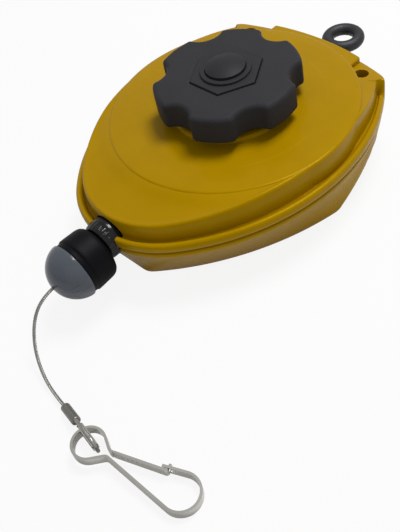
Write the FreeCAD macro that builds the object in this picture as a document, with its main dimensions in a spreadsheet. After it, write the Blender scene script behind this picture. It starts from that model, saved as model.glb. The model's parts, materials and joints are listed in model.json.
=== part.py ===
import FreeCAD, Part
import math
import os
import re

import Sketcher
from FreeCAD import Placement, Rotation, Vector

# Tool balancer lying on its back: a spring reel in a two-part casing, with a tension knob,
# a hanging eye, a stop and bumper on the cable, and a snap hook.
# Millimetres. Origin on the back face under the knob's axis, +Z through the knob,
# +Y towards the hanging eye, -Y towards the cable outlet.

os.makedirs("parts", exist_ok=True)
doc = FreeCAD.newDocument("tool_balancer")

SIZES = {
    # casing outline: two side arcs, a nose arc tangent to them and a flat top arc
    "side_arc": 104.0, "half_width": 66.0, "arc_drop": 2.0, "nose_reach": 91.0,
    "top_arc": 140.0, "top_reach": 66.0,
    # casing in height
    "rear_depth": 26.0, "front_height": 15.0, "wall": 2.5,
    "bead_height": 5.0, "bead_width": 4.0, "bead_round": 1.6,
    "groove_inset": 5.5, "groove_depth": 1.4, "crown_inset": 7.5, "crown_round": 2.2,
    "rear_bead_height": 4.0, "rear_bead_inset": 0.8, "rear_bead_round": 1.2,
    "rear_edge_inset": 2.6, "rear_chamfer": 2.0,
    # foot of the rear shell: its own side arcs, widest nearer the eye, and a bevel at each eye-end corner
    "foot_arc": 145.0, "foot_half": 64.1, "foot_rise": 30.8, "foot_nose_back": 10.0, "foot_top_back": 3.0,
    "bevel_reach": 55.6, "bevel_angle": 31.0, "bevel_slope": 46.5, "bevel_foot": 4.0,
    "disc_radius": 60.7, "disc_flare": 1.0, "disc_rise": 0.4,
    "boss_radius": 29.0, "boss_rise": 2.0,
    "block_half": 28.0, "ear_drop": 4.5, "ear_run": 46.0, "corner_back": 13.0,
    "nose_drop": 4.0, "nose_run": 55.0,
    "pocket_radius": 4.2, "pocket_x": 36.5, "pocket_back": 12.5, "pocket_floor": 4.5, "crown_spare": 4.0,
    "nose_solid": 13.0, "top_solid": 10.0,
    "nose_screw_x": 19.0, "nose_screw_y": 68.0, "pillar_wall": 2.6,
    # case screws
    "screw_radius": 1.5, "screw_head_radius": 2.8, "screw_head_height": 1.8, "screw_grip": 9.0,
    "head_gap": 0.3,
    # outlet nozzle and its rope guide
    "collar_radius": 10.2, "collar_gap": 0.5, "collar_length": 10.0, "collar_proud": 3.0,
    "neck_radius": 8.5, "nozzle_flange_radius": 10.0, "nozzle_flange": 2.0,
    "liner_radius": 5.0, "liner_bore": 1.3, "liner_flare": 4.4,
    # hanging eye
    "eye_centre": 19.0, "eye_radius": 9.25, "eye_section": 3.25, "eye_bore": 6.2,
    "stem_radius": 3.6, "eye_flange_radius": 5.4, "eye_flange": 1.4,
    "eye_bush_radius": 5.5, "eye_washer_radius": 6.0, "eye_washer": 1.0,
    "eye_nut_radius": 6.2, "eye_nut_height": 3.6, "stem_end": 0.6,
    # arbor line
    "fit_gap": 0.05, "face_gap": 0.05,
    "arbor_radius": 6.0, "core_radius": 9.0, "arbor_foot": 3.2, "arbor_top": 53.9,
    "bush_wall": 2.5, "bush_flange": 0.7, "bush_flange_radius": 10.5, "bush_boss_wall": 3.0,
    "front_flange": 1.2, "front_flange_radius": 13.0,
    # drum
    "drum_foot": 7.0, "drum_web": 2.0, "drum_rim": 4.0, "wind_depth": 6.0, "drum_clearance": 1.75,
    "drum_flange": 1.5, "drum_bush_flange": 0.8, "drum_bush_flange_radius": 10.0,
    "rope_radius": 0.8, "rope_turns": 6, "turn_pitch": 1.65, "rope_room": 1.0,
    "cover_screw_radius": 1.0, "cover_screw_length": 6.0, "cover_screw_count": 6,
    "spring_strip": 0.7, "spring_pitch": 2.0, "spring_gap": 0.4,
    # ratchet and release button
    "button_travel": 2.8,
    "wheel_top": 38.0, "wheel_height": 3.0, "wheel_radius": 16.0, "tooth_depth": 2.4, "tooth_count": 18,
    "wheel_gap": 0.08,
    "pin_radius": 1.0, "pin_half": 11.5, "slot_gap": 0.3,
    "rod_radius": 2.2, "rod_gap": 0.08, "rod_below": 1.2,
    "pawl_height": 2.0, "pawl_strip": 0.8, "pawl_length": 21.0, "pawl_angle": 20.0, "pawl_gap": 0.35,
    "pawl_tab": 8.0, "pawl_screw_radius": 1.4,
    # knob, hub and button
    "knob_foot": 47.5, "knob_top": 60.0, "knob_radius": 35.0, "knob_round": 3.2, "knob_foot_round": 1.0,
    "scallop_radius": 10.0, "scallop_centre": 38.8, "scallop_round": 1.6,
    "knob_skin": 3.5, "knob_core": 14.5, "knob_rim": 24.5, "rib_width": 2.4,
    "hub_radius": 11.0, "hub_hex": 17.8, "hub_hex_foot": 56.5, "hub_rise": 0.8, "hex_gap": 0.3,
    "hub_floor": 55.8, "collar_ring_radius": 12.2, "collar_ring_rise": 1.2,
    "button_radius": 9.6, "button_gap": 0.28, "button_foot": 59.0, "button_shoulder": 63.2,
    "button_dome": 1.9, "button_boss": 3.8, "button_socket": 3.0,
    "return_wire": 0.4, "return_radius": 6.0, "return_turns": 2.5,
    "ring_radius": 13.6, "ring_height": 1.1, "ring_groove": 10.3, "ring_foot": 46.3,
    "key_half": 2.0, "key_low": 4.6, "key_high": 7.8, "key_foot": 45.6, "key_length": 7.6,
    "set_screw_radius": 2.0, "set_screw_height": 49.6,
    # bumper and stop on the cable
    "bumper_drop": 3.0, "bumper_radius": 13.8, "bumper_length": 15.2, "bumper_gap": 0.3,
    "bumper_round": 1.4, "bumper_bore": 3.0, "spigot_radius": 9.0, "spigot_length": 6.0,
    "stop_cylinder": 1.0, "stop_dome": 11.5, "seam_gap": 0.1,
    "crimp_radius": 2.2, "crimp_length": 9.0, "stop_screw_x": 7.0, "stop_screw_radius": 1.1,
    "stop_screw_y": 2.6, "stop_screw_length": 11.0, "stop_screw_head": 2.1,
    # end of the cable and hook
    "ferrule_radius": 2.1, "thimble_strip": 0.5, "thimble_width": 2.6,
    "loop_half": 4.05, "loop_throat": 4.8, "loop_length": 16.7, "loop_start": 0.85,
    "hook_strip": 1.1, "hook_width": 4.6, "hook_eye_radius": 6.95, "hook_neck": 9.6, "hook_neck_half": 1.2,
    "hook_bend_centre": 43.5, "hook_bend_radius": 7.95, "hook_end_run": 10.5, "hook_corner": 2.5,
    "hook_angle": 12.7, "hook_lift": 2.6, "gate_root": 1.6, "gate_joint_gap": 0.3, "gate_overlap": 2.6, "gate_gap": 0.4,
    "gate_tab": 3.4, "gate_tab_width": 1.7, "gate_slot_width": 2.5,
}

# Sizes that follow from others
LINKED = {
    "foot_nose": "=nose_reach - foot_nose_back", "foot_top": "=top_reach - foot_top_back",
    "pocket_y": "=top_reach - pocket_back", "corner_from": "=top_reach - corner_back",
    "flange_radius": "=top_reach - top_solid - face_gap - eye_washer - eye_nut_height - stem_end - drum_clearance",
    "wind_radius": "=flange_radius - wind_depth",
}

sheet = doc.addObject("Spreadsheet::Sheet", "Sizes")
for row, (alias, amount) in enumerate({**SIZES, **LINKED}.items(), start=1):
    sheet.set(f"A{row}", alias)
    sheet.set(f"B{row}", str(amount))
    sheet.setAlias(f"B{row}", alias)
doc.recompute()


def ref(text):
    """An expression in which every alias names its cell of the sheet."""
    return re.sub(r"[a-z][a-z_0-9]*", lambda word: "Sizes." + word.group()
                  if word.group() in SIZES or word.group() in LINKED else word.group(), str(text))


def num(text):
    """The number that an expression of aliases gives now."""
    return float(sheet.evalExpression(ref(text)))


def bind(obj, prop, text):
    obj.setExpression(prop, ref(text))


def place(obj, x="0", y="0", z="0", turn=None):
    """Put an object at bound coordinates; turn is the rotation of its own axes."""
    obj.Placement = Placement(Vector(num(x), num(y), num(z)), turn or Rotation())
    for axis, text in zip("xyz", (x, y, z)):
        if text != "0":
            bind(obj, f".Placement.Base.{axis}", text)
    return obj


# Turns that lay an object's own Z axis along another axis
ALONG_X = Rotation(Vector(0, 1, 0), 90)
ALONG_Y = Rotation(Vector(1, 0, 0), -90)
AGAINST_Y = Rotation(Vector(1, 0, 0), 90)

# Heights and lines used by several pieces, as expressions
CROWN = "(rear_depth + front_height)"
BOSS_TOP = "(rear_depth + front_height + disc_rise + boss_rise)"
COLLAR_BACK = "(nose_reach + collar_proud - collar_length)"
NOSE_INNER = "(nose_reach - nose_solid)"
TOP_INNER = "(top_reach - top_solid)"
GROOVE_TOP = "(rear_depth + rope_room)"
GROOVE_FOOT = "(rear_depth + rope_room - rope_turns * turn_pitch - 0.4)"
DRUM_TOP = "(rear_depth + rope_room + drum_flange)"
HUB_TOP = "(knob_top + hub_rise)"
FRONT_SEAT = "(rear_depth + front_height + disc_rise + boss_rise + front_flange + face_gap)"
STOP_LINE = "(rear_depth - bumper_drop)"
BUMPER_BACK = "(nose_reach + collar_proud + bumper_gap)"
BUMPER_FACE = "(nose_reach + collar_proud + bumper_gap + bumper_length)"
POLE = "(nose_reach + collar_proud + bumper_gap + bumper_length + stop_cylinder + stop_dome)"


# Small builders for primitives and booleans

def cylinder(name, radius, height, x="0", y="0", z="0", turn=None):
    obj = doc.addObject("Part::Cylinder", name)
    bind(obj, "Radius", radius)
    bind(obj, "Height", height)
    return place(obj, x, y, z, turn)


def cone(name, foot_radius, top_radius, height, x="0", y="0", z="0", turn=None):
    obj = doc.addObject("Part::Cone", name)
    bind(obj, "Radius1", foot_radius)
    bind(obj, "Radius2", top_radius)
    bind(obj, "Height", height)
    return place(obj, x, y, z, turn)


def box(name, length, width, height, x="0", y="0", z="0", turn=None):
    obj = doc.addObject("Part::Box", name)
    bind(obj, "Length", length)
    bind(obj, "Width", width)
    bind(obj, "Height", height)
    return place(obj, x, y, z, turn)


def cut(name, base, *tools):
    for count, tool in enumerate(tools):
        obj = doc.addObject("Part::Cut", name if count == len(tools) - 1 else f"{name}_cut{count}")
        obj.Base = base
        obj.Tool = tool
        base = obj
    return base


def fuse(name, *pieces):
    obj = doc.addObject("Part::MultiFuse", name)
    obj.Shapes = list(pieces)
    obj.Refine = True
    return obj


def common(name, *pieces):
    obj = doc.addObject("Part::MultiCommon", name)
    obj.Shapes = list(pieces)
    return obj


def group(name, *pieces):
    """Separate solids of one kind that share a node."""
    obj = doc.addObject("Part::Compound", name)
    obj.Links = list(pieces)
    return obj


def rounded(name, base, radius, chosen):
    """Fillet the edges of base that the test `chosen` picks."""
    doc.recompute()
    size = num(radius)
    edges = [(i, size, size) for i, edge in enumerate(base.Shape.Edges, start=1) if chosen(edge)]
    obj = doc.addObject("Part::Fillet", name)
    obj.Base = base
    obj.Edges = edges
    return obj


def solid_feature(name, shape):
    """A piece whose shape comes from Part's own functions: swept cords, springs and bent strips."""
    obj = doc.addObject("Part::Feature", name)
    obj.Shape = shape
    return obj


def flat_at(edge, height, tolerance=0.01):
    """True for an edge that lies in the horizontal plane at this height."""
    box_ = edge.BoundBox
    return abs(box_.ZMin - height) < tolerance and abs(box_.ZMax - height) < tolerance


# Small builders for sketches and bodies

def body(name):
    return doc.addObject("PartDesign::Body", name)


def sketch_on(owner, name, role, height="0"):
    """A sketch on one of its body's origin planes, lifted along the plane's normal."""
    sketch = owner.newObject("Sketcher::SketchObject", name)
    plane = [p for p in owner.Origin.OriginFeatures if p.Role == role][0]
    sketch.AttachmentSupport = [(plane, "")]
    sketch.MapMode = "FlatFace"
    sketch.AttachmentOffset = Placement(Vector(0, 0, num(height)), Rotation())
    bind(sketch, ".AttachmentOffset.Base.z", height)
    return sketch


def pin_point(sketch, geometry, end, x, y):
    """Fix one end of a sketch line or arc at bound coordinates."""
    for kind, text in (("DistanceX", x), ("DistanceY", y)):
        index = sketch.addConstraint(Sketcher.Constraint(kind, -1, 1, geometry, end, num(text)))
        bind(sketch, f"Constraints[{index}]", text)


def polygon(sketch, corners):
    """A closed outline whose every corner is bound to the sheet."""
    points = [Vector(num(x), num(y), 0) for x, y in corners]
    count = len(points)
    for i in range(count):
        sketch.addGeometry(Part.LineSegment(points[i], points[(i + 1) % count]), False)
    for i in range(count):
        sketch.addConstraint(Sketcher.Constraint("Coincident", i, 2, (i + 1) % count, 1))
    for i, (x, y) in enumerate(corners):
        pin_point(sketch, i, 1, x, y)


def turned(name, corners, role="XZ_Plane", x="0", y="0", z="0"):
    """A turned piece: corners are (radius, place along the axis); the axis is the plane's V axis."""
    owner = body(name)
    sketch = sketch_on(owner, name + "_profile", role)
    polygon(sketch, corners)
    revolve = owner.newObject("PartDesign::Revolution", name + "_turn")
    revolve.Profile = sketch
    revolve.ReferenceAxis = (sketch, ["V_Axis"])
    revolve.Angle = 360
    sketch.Visibility = False
    return place(owner, x, y, z)


def along_y(corners):
    """Corners of a piece turned about the Y axis, given with their reach towards -Y."""
    return [(radius, f"-({reach})") for radius, reach in corners]


def prism(name, corners, foot, height, x="0", y="0"):
    """A padded outline from foot upwards."""
    owner = body(name)
    sketch = sketch_on(owner, name + "_outline", "XY_Plane", foot)
    polygon(sketch, corners)
    pad = owner.newObject("PartDesign::Pad", name + "_pad")
    pad.Profile = sketch
    bind(pad, "Length", height)
    sketch.Visibility = False
    return place(owner, x, y, "0")


def polar(radius, angle):
    """Corner at an angle in degrees."""
    return (f"{radius} * cos({angle} * 1 deg)", f"{radius} * sin({angle} * 1 deg)")


CASING = ("side_arc", "half_width", "arc_drop", "nose_reach", "top_reach")
FOOT = ("foot_arc", "foot_half", "(-foot_rise)", "foot_nose", "foot_top")


def outline(sketch, inset, top_inset="0", plan=CASING):
    """A plan outline, moved inwards: nose arc, right side, top arc, left side."""
    arc, half, drop, nose_end, top_end = plan
    offset = f"({arc} - {half})"
    reach = f"({nose_end} - {drop})"
    nose = f"(({arc}^2 - {offset}^2 - {reach}^2) / (2 * ({arc} - {reach})))"
    share = f"(({arc} - ({inset})) / ({arc} - {nose}))"
    tangent_x = f"({offset} * ({share} - 1))"
    tangent_y = f"(0 - {drop} - ({reach} - {nose}) * {share})"
    side = f"({arc} - ({inset}))"
    top = f"(top_arc - ({top_inset}))"
    rise = f"({top_end} - top_arc + {drop})"
    span = f"({offset}^2 + {rise}^2)"
    along = f"(({side}^2 - {top}^2 + {span}) / (2 * {span}))"
    across = f"sqrt({side}^2 / {span} - {along}^2)"
    corner_x = f"({offset} * ({along} - 1) - {rise} * {across})"
    corner_y = f"(0 - {drop} + {rise} * {along} + {offset} * {across})"
    if num(corner_x) < 0:
        raise ValueError("the side and top arcs of the casing do not meet")
    ends = [(f"-{tangent_x}", tangent_y), (tangent_x, tangent_y), (corner_x, corner_y),
            (f"-{corner_x}", corner_y)]
    centres = [("0", f"({nose} - {nose_end})"), (f"-{offset}", f"(0 - {drop})"),
               ("0", f"({top_end} - top_arc)"), (offset, f"(0 - {drop})")]
    radii = [f"({nose} - ({inset}))", side, top, side]
    for i in range(4):
        first, second = ends[i], ends[(i + 1) % 4]
        centre = Vector(num(centres[i][0]), num(centres[i][1]), 0)
        circle = Part.Circle(centre, Vector(0, 0, 1), num(radii[i]))
        start = math.atan2(num(first[1]) - centre.y, num(first[0]) - centre.x)
        stop = math.atan2(num(second[1]) - centre.y, num(second[0]) - centre.x)
        sketch.addGeometry(Part.ArcOfCircle(circle, start, stop), False)
    for i in range(4):
        sketch.addConstraint(Sketcher.Constraint("Coincident", i, 2, (i + 1) % 4, 1))
    for i in range(4):
        pin_point(sketch, i, 1, *ends[i])
        index = sketch.addConstraint(Sketcher.Constraint("Radius", i, num(radii[i])))
        bind(sketch, f"Constraints[{index}]", radii[i])


def slab(name, foot, foot_inset, height, top_inset=None, end_foot="0", end_top="0", plans=(CASING, CASING)):
    """A layer of the casing between two levels, its outlines drawn in by the insets."""
    owner = body(name)
    first = sketch_on(owner, name + "_low", "XY_Plane", foot)
    outline(first, foot_inset, end_foot, plans[0])
    first.Visibility = False
    if top_inset is None:
        pad = owner.newObject("PartDesign::Pad", name + "_pad")
        pad.Profile = first
        bind(pad, "Length", height)
        return owner
    second = sketch_on(owner, name + "_high", "XY_Plane", f"{foot} + {height}")
    outline(second, top_inset, end_top, plans[1])
    second.Visibility = False
    loft = owner.newObject("PartDesign::AdditiveLoft", name + "_loft")
    loft.Profile = first
    loft.Sections = [second]
    loft.Ruled = True
    return owner


# Bent strips and tubes follow straight runs joined by tangent arcs

def rounded_path(points, radii):
    """Segments of a plane path: ("line", a, b) and ("arc", centre, radius, a0, a1)."""
    segments = []
    here = Vector(*points[0], 0)
    for before, corner, after, radius in zip(points, points[1:], points[2:], radii):
        corner = Vector(*corner, 0)
        inward = (corner - Vector(*before, 0)).normalize()
        outward = (Vector(*after, 0) - corner).normalize()
        turn = math.atan2(inward.x * outward.y - inward.y * outward.x, inward.dot(outward))
        reach = radius * math.tan(abs(turn) / 2)
        start = corner - inward * reach
        if (start - here).Length > 1e-4:
            segments.append(("line", here, start))
        side = Vector(-inward.y, inward.x, 0) * math.copysign(1, turn)
        centre = start + side * radius
        angle = math.atan2(start.y - centre.y, start.x - centre.x)
        segments.append(("arc", centre, radius, angle, angle + turn))
        here = corner + outward * reach
    last = Vector(*points[-1], 0)
    if (last - here).Length > 1e-4:
        segments.append(("line", here, last))
    return segments


def shifted_edges(segments, shift):
    """The path's edges, moved to its left by shift."""
    edges = []
    for segment in segments:
        if segment[0] == "line":
            run = (segment[2] - segment[1]).normalize()
            side = Vector(-run.y, run.x, 0) * shift
            edges.append(Part.LineSegment(segment[1] + side, segment[2] + side).toShape())
        else:
            _, centre, radius, first, last = segment
            radius = radius - shift if last > first else radius + shift
            ring = [centre + Vector(math.cos(t), math.sin(t), 0) * radius
                    for t in (first, (first + last) / 2, last)]
            edges.append(Part.Arc(*ring).toShape())
    return edges


def ribbon(segments, thickness, width, closed=False):
    """A strip of constant thickness along a plane path, as wide as given along Z."""
    left = shifted_edges(segments, thickness / 2)
    right = shifted_edges(segments, -thickness / 2)
    if closed:
        outer, inner = Part.Wire(left), Part.Wire(right)
        if Part.Face(outer).Area < Part.Face(inner).Area:
            outer, inner = inner, outer
        face = Part.Face(outer).cut(Part.Face(inner))
        return face.extrude(Vector(0, 0, width)).Solids[0]
    caps = [Part.LineSegment(left[-1].lastVertex(True).Point, right[-1].lastVertex(True).Point).toShape(),
            Part.LineSegment(right[0].firstVertex(True).Point, left[0].firstVertex(True).Point).toShape()]
    wire = Part.Wire(Part.__sortEdges__(left + right + caps))
    return Part.Face(wire).extrude(Vector(0, 0, width))


def around(centre, radius, first, last, count):
    """Corners outside a circle whose tangent arcs of that radius join into its rim."""
    half = (last - first) / (2 * count)
    reach = radius / math.cos(math.radians(half))
    angles = [math.radians(first + half * (2 * i + 1)) for i in range(count)]
    return [(centre[0] + reach * math.cos(a), centre[1] + reach * math.sin(a)) for a in angles]


def tube(name, points, radius, share=0.45, report=True):
    """A round cord along a route: each corner's arc takes this share of its shorter run."""
    edges = []
    here = points[0]
    radii = []
    for before, corner, after in zip(points, points[1:], points[2:]):
        inward, outward = corner - before, after - corner
        half = inward.getAngle(outward) / 2
        reach = share * min(inward.Length, outward.Length)
        radii.append(reach / math.tan(half))
        start = corner - Vector(inward).normalize() * reach
        stop = corner + Vector(outward).normalize() * reach
        to_mid = ((start + stop) * 0.5 - corner).normalize()
        middle = corner + to_mid * (radii[-1] / math.cos(half) - radii[-1])
        if (start - here).Length > 1e-4:
            edges.append(Part.LineSegment(here, start).toShape())
        edges.append(Part.Arc(start, middle, stop).toShape())
        here = stop
    edges.append(Part.LineSegment(here, points[-1]).toShape())
    spine = Part.Wire(edges)
    ring = Part.Wire(Part.Circle(points[0], points[1] - points[0], radius).toShape())
    shape = spine.makePipeShell([ring], True, False)
    if report:
        print(f"{name}: length {spine.Length:.1f}, radii {[round(r, 1) for r in radii]}, volume ratio "
              f"{shape.Volume / (math.pi * radius ** 2 * spine.Length):.4f}")
    return shape


NODES = []


def node(obj, name):
    """Name a finished sub-part."""
    obj.Label = name
    NODES.append(obj)
    return obj


# Casing

def nose_cut(name, drop):
    """The tilted space above the nose."""
    tilt = math.degrees(math.atan2(num("nose_drop"), num("nose_run")))
    above = box(name, "2 * half_width", "2 * nose_run", "4 * nose_drop")
    turn = Rotation(Vector(1, 0, 0), tilt)
    back = turn.multVec(Vector(0, -2 * num("nose_run"), 0))
    above.Placement = Placement(Vector(-num("half_width"), num("nose_run - nose_reach") + back.y,
                                       num(CROWN) - drop + back.z), turn)
    return above


def ear_cut(name, drop):
    """The tilted space above both ears, clear of the block at the top end."""
    tilt = math.degrees(math.atan2(num("ear_drop"), num("ear_run")))
    above = box(name + "_space", "2 * half_width", "2 * ear_run", "4 * ear_drop")
    above.Placement = Placement(Vector(-num("half_width"), num("top_reach - ear_run"), num(CROWN) - drop),
                                Rotation(Vector(1, 0, 0), -tilt))
    block = box(name + "_block", "2 * block_half", "3 * ear_run", "12 * ear_drop", "-block_half",
                "top_reach - 2 * ear_run", f"{CROWN} - 6 * ear_drop")
    return cut(name, above, block)


def bevels(name, shift):
    """The spaces below the bevelled corners at the eye end, moved inwards by shift."""
    spaces = []
    for side in (1, -1):
        space = box(f"{name}_{side + 1}", "2 * half_width", "4 * half_width", "2 * half_width")
        turn = (Rotation(Vector(0, 0, 1), 90 - side * (90 - num("bevel_angle")))
                * Rotation(Vector(0, 1, 0), -num("bevel_slope")))
        heading = Rotation(Vector(0, 0, 1), 90 - side * (90 - num("bevel_angle")))
        start = heading.multVec(Vector(num("bevel_reach"), 0, 0)) + Vector(0, 0, num("bevel_foot"))
        corner = turn.multVec(Vector(0, -2 * num("half_width"), shift - 2 * num("half_width")))
        space.Placement = Placement(start + corner, turn)
        spaces.append(space)
    return spaces


def pillars(name, radius, foot, height):
    """Round posts or holes on the four case screws' axes."""
    spots = [("pocket_x", "pocket_y"), ("-pocket_x", "pocket_y"),
             ("nose_screw_x", "-nose_screw_y"), ("-nose_screw_x", "-nose_screw_y")]
    return [cylinder(f"{name}_{i}", radius, height, x, y, foot) for i, (x, y) in enumerate(spots)]


def nozzle_room(name):
    """What the outlet nozzle takes out of both shells."""
    recess = cylinder(name + "_recess", "collar_radius + collar_gap", "collar_length + 10", "0",
                      f"-{COLLAR_BACK}", "rear_depth", AGAINST_Y)
    neck = cylinder(name + "_neck", "neck_radius", "nose_solid + 2", "0", f"-({NOSE_INNER} - 1)",
                    "rear_depth", AGAINST_Y)
    flange = cylinder(name + "_flange", "nozzle_flange_radius + collar_gap", "nozzle_flange + 8", "0",
                      f"-{NOSE_INNER}", "rear_depth", ALONG_Y)
    return [recess, neck, flange]


def eye_room(name):
    return cylinder(name + "_eye_bore", "eye_bush_radius", "top_solid + 12", "0", f"{TOP_INNER} - 6",
                    "rear_depth", ALONG_Y)


def cavity(name, foot, foot_inset, height, top_inset, post_foot, post_height, plans=(CASING, CASING)):
    """The hollow of a shell: drawn in by the wall, short of the solid ends and of the screw posts."""
    hollow = slab(name + "_hollow", foot, foot_inset, height, top_inset, plans=plans)
    nose = box(name + "_nose", "2 * half_width", "nose_reach", "6 * rear_depth", "-half_width",
               f"-{NOSE_INNER} - nose_reach", "-rear_depth")
    top = box(name + "_top", "2 * half_width", "top_reach", "6 * rear_depth", "-half_width", TOP_INNER,
              "-rear_depth")
    posts = pillars(name + "_post", "screw_radius + pillar_wall", post_foot, post_height)
    for i, x in enumerate(("pocket_x", "-pocket_x")):
        posts.append(cylinder(f"{name}_pocket_post_{i}", "pocket_radius + pillar_wall * 0.75", post_height, x,
                              "pocket_y", post_foot))
    return cut(name, hollow, nose, top, *posts)


def front_shell():
    base = slab("front_base", "rear_depth", "bead_width - 0.2", "bead_height - groove_depth")
    ring = cut("bead_ring", slab("bead_outer", "rear_depth", "0", "bead_height"),
               slab("bead_inner", "rear_depth - 1", "bead_width", "bead_height + 2"))
    bead = rounded("bead", ring, "bead_round", lambda e: flat_at(e, num("rear_depth + bead_height")))
    full = slab("crown_full", "rear_depth + bead_height - groove_depth - 0.2", "groove_inset",
                "front_height - bead_height + groove_depth + 0.2", "crown_inset", "-crown_spare",
                "-crown_spare")
    trimmed = common("crown_trimmed", full, slab("crown_limit", "rear_depth", "0", "front_height + 2"))
    crown = rounded("crown", trimmed, "crown_round",
                    lambda e: flat_at(e, num(CROWN)) and e.BoundBox.YMax < num("top_reach") - 5)
    corners = common("closed_corners", slab("corner_full", "rear_depth + bead_height - 1", "bead_round * 0.4",
                                            "front_height - bead_height + 1"),
                     box("corner_limit", "2 * half_width", "half_width", "4 * rear_depth", "-half_width", "corner_from"))
    lowered = cut("crown_lowered", fuse("crown_and_corners", crown, corners), ear_cut("ear_cut", 0.0),
                  nose_cut("nose_cut", 0.0))
    disc = cone("disc_plateau", "disc_radius + disc_flare", "disc_radius",
                "front_height - bead_height + groove_depth + disc_rise", "0", "0",
                "rear_depth + bead_height - groove_depth")
    disc_soft = rounded("disc_soft", disc, "disc_rise * 0.8",
                        lambda e: flat_at(e, num(f"{CROWN} + disc_rise")))
    boss = cylinder("front_boss", "boss_radius", "boss_rise + 1", "0", "0", f"{BOSS_TOP} - boss_rise - 1")
    boss_soft = rounded("boss_soft", boss, "boss_rise * 0.45", lambda e: flat_at(e, num(BOSS_TOP)))
    whole = fuse("front_whole", base, bead, lowered, disc_soft, boss_soft)
    hollow = cavity("front_cavity", "rear_depth", "groove_inset + wall", "front_height - wall",
                    "crown_inset + wall * 0.8", "rear_depth", "front_height")
    hollow = cut("front_cavity_low", hollow, ear_cut("ear_cavity_cut", num("wall")),
                 nose_cut("nose_cavity_cut", num("wall")))
    pockets = [cylinder(f"ear_pocket_{i}", "pocket_radius", "front_height", x, "pocket_y",
                        "rear_depth + pocket_floor") for i, x in enumerate(("pocket_x", "-pocket_x"))]
    holes = pillars("front_hole", "screw_radius", "rear_depth - 1", "pocket_floor + 3")
    bore = cylinder("front_bush_bore", "arbor_radius + bush_wall", "front_height * 2", "0", "0", "rear_depth + 1")
    pawl_hole = cylinder("pawl_hole", "pawl_screw_radius", "wall + 1.4", *PAWL_SPOT, f"{CROWN} - wall - 2.2")
    return node(cut("front_shell_solid", whole, hollow, *pockets, *holes, bore, *nozzle_room("front"),
                    eye_room("front"), pawl_hole), "front_shell")


def rear_shell():
    edge = slab("rear_edge", "0", "rear_chamfer * 0.8", "rear_chamfer", "0", "rear_chamfer * 0.8", "0", (FOOT, FOOT))
    main = slab("rear_main", "rear_chamfer", "0", "rear_depth - rear_bead_height + 0.2 - rear_chamfer",
                "rear_edge_inset", plans=(FOOT, CASING))
    ring = slab("rear_bead_full", "rear_depth - rear_bead_height", "rear_bead_inset", "rear_bead_height")
    bead = rounded("rear_bead", ring, "rear_bead_round",
                   lambda e: flat_at(e, num("rear_depth - rear_bead_height")))
    whole = fuse("rear_whole", cut("rear_bevelled", fuse("rear_lower", edge, main), *bevels("rear_bevel", 0.0)), bead)
    hollow = cavity("rear_cavity", "wall", "wall", "rear_depth - wall", "rear_edge_inset + wall", "0", "rear_depth",
                    (FOOT, CASING))
    hollow = cut("rear_cavity_bevelled", hollow, *bevels("rear_cavity_bevel", num("wall")))
    boss = cylinder("rear_boss", "arbor_radius + bush_wall + bush_boss_wall",
                    f"{REAR_BUSH_FLANGE} - 0.2", "0", "0", "0.2")
    filled = fuse("rear_filled", cut("rear_hollowed", whole, hollow), boss)
    bore = cylinder("rear_bush_bore", "arbor_radius + bush_wall", "rear_depth", "0", "0", "wall + 0.1")
    holes = pillars("rear_hole", "screw_radius", "rear_depth - screw_grip", "screw_grip + 1")
    heads = [cylinder(f"rear_head_{i}", "screw_head_radius + head_gap", "rear_depth - screw_grip + 2",
                      x, "-nose_screw_y", "-1") for i, x in enumerate(("nose_screw_x", "-nose_screw_x"))]
    return node(cut("rear_shell_solid", filled, bore, *holes, *heads, *nozzle_room("rear"),
                    eye_room("rear")), "rear_shell")


REAR_BUSH_FLANGE = "(drum_foot - drum_bush_flange - bush_flange - face_gap)"
PAWL_SPOT = ("pawl_length * cos(pawl_angle * 1 deg) + pawl_tab * 0.6",
             "wheel_radius - tooth_depth + pawl_gap + pawl_length * sin(pawl_angle * 1 deg) + pawl_tab * 0.2")


def pan_screw(name, x, y, head_z, up, shank):
    """A pan-head screw with a cross recess; up is +1 where the head looks up, -1 where it looks down."""
    direction = Rotation() if up > 0 else Rotation(Vector(1, 0, 0), 180)
    shaft = cylinder(name + "_shank", "screw_radius", f"{shank} + 0.4", x, y,
                     f"{head_z} - {up} * ({shank})", direction)
    head = cylinder(name + "_head", "screw_head_radius", "screw_head_height", x, y, head_z, direction)
    top = f"{head_z} + {up} * screw_head_height"
    dome = rounded(name + "_dome", head, "0.6", lambda e: flat_at(e, num(top)))
    slots = [box(f"{name}_slot{i}", "3.2", "0.7", "1.0") for i in range(2)]
    for slot, turn in zip(slots, (45, 135)):
        spin = Rotation(Vector(0, 0, 1), turn)
        corner = spin.multVec(Vector(-1.6, -0.35, 0))
        depth = num(top) - (0.9 if up > 0 else 0.1)
        slot.Placement = Placement(Vector(num(x) + corner.x, num(y) + corner.y, depth), spin)
    return cut(name, fuse(name + "_body", shaft, dome), *slots)


def case_screws():
    ears = [pan_screw(f"ear_screw_{i}", x, "pocket_y", "(rear_depth + pocket_floor)", 1,
                      "(pocket_floor + screw_grip - 0.5)") for i, x in enumerate(("pocket_x", "-pocket_x"))]
    node(group("ear_screws_group", *ears), "ear_screws")
    noses = [pan_screw(f"nose_screw_{i}", x, "-nose_screw_y", "(rear_depth - screw_grip + 1)", -1,
                       "(screw_grip + 1)") for i, x in enumerate(("nose_screw_x", "-nose_screw_x"))]
    node(group("nose_screws_group", *noses), "nose_screws")


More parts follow.
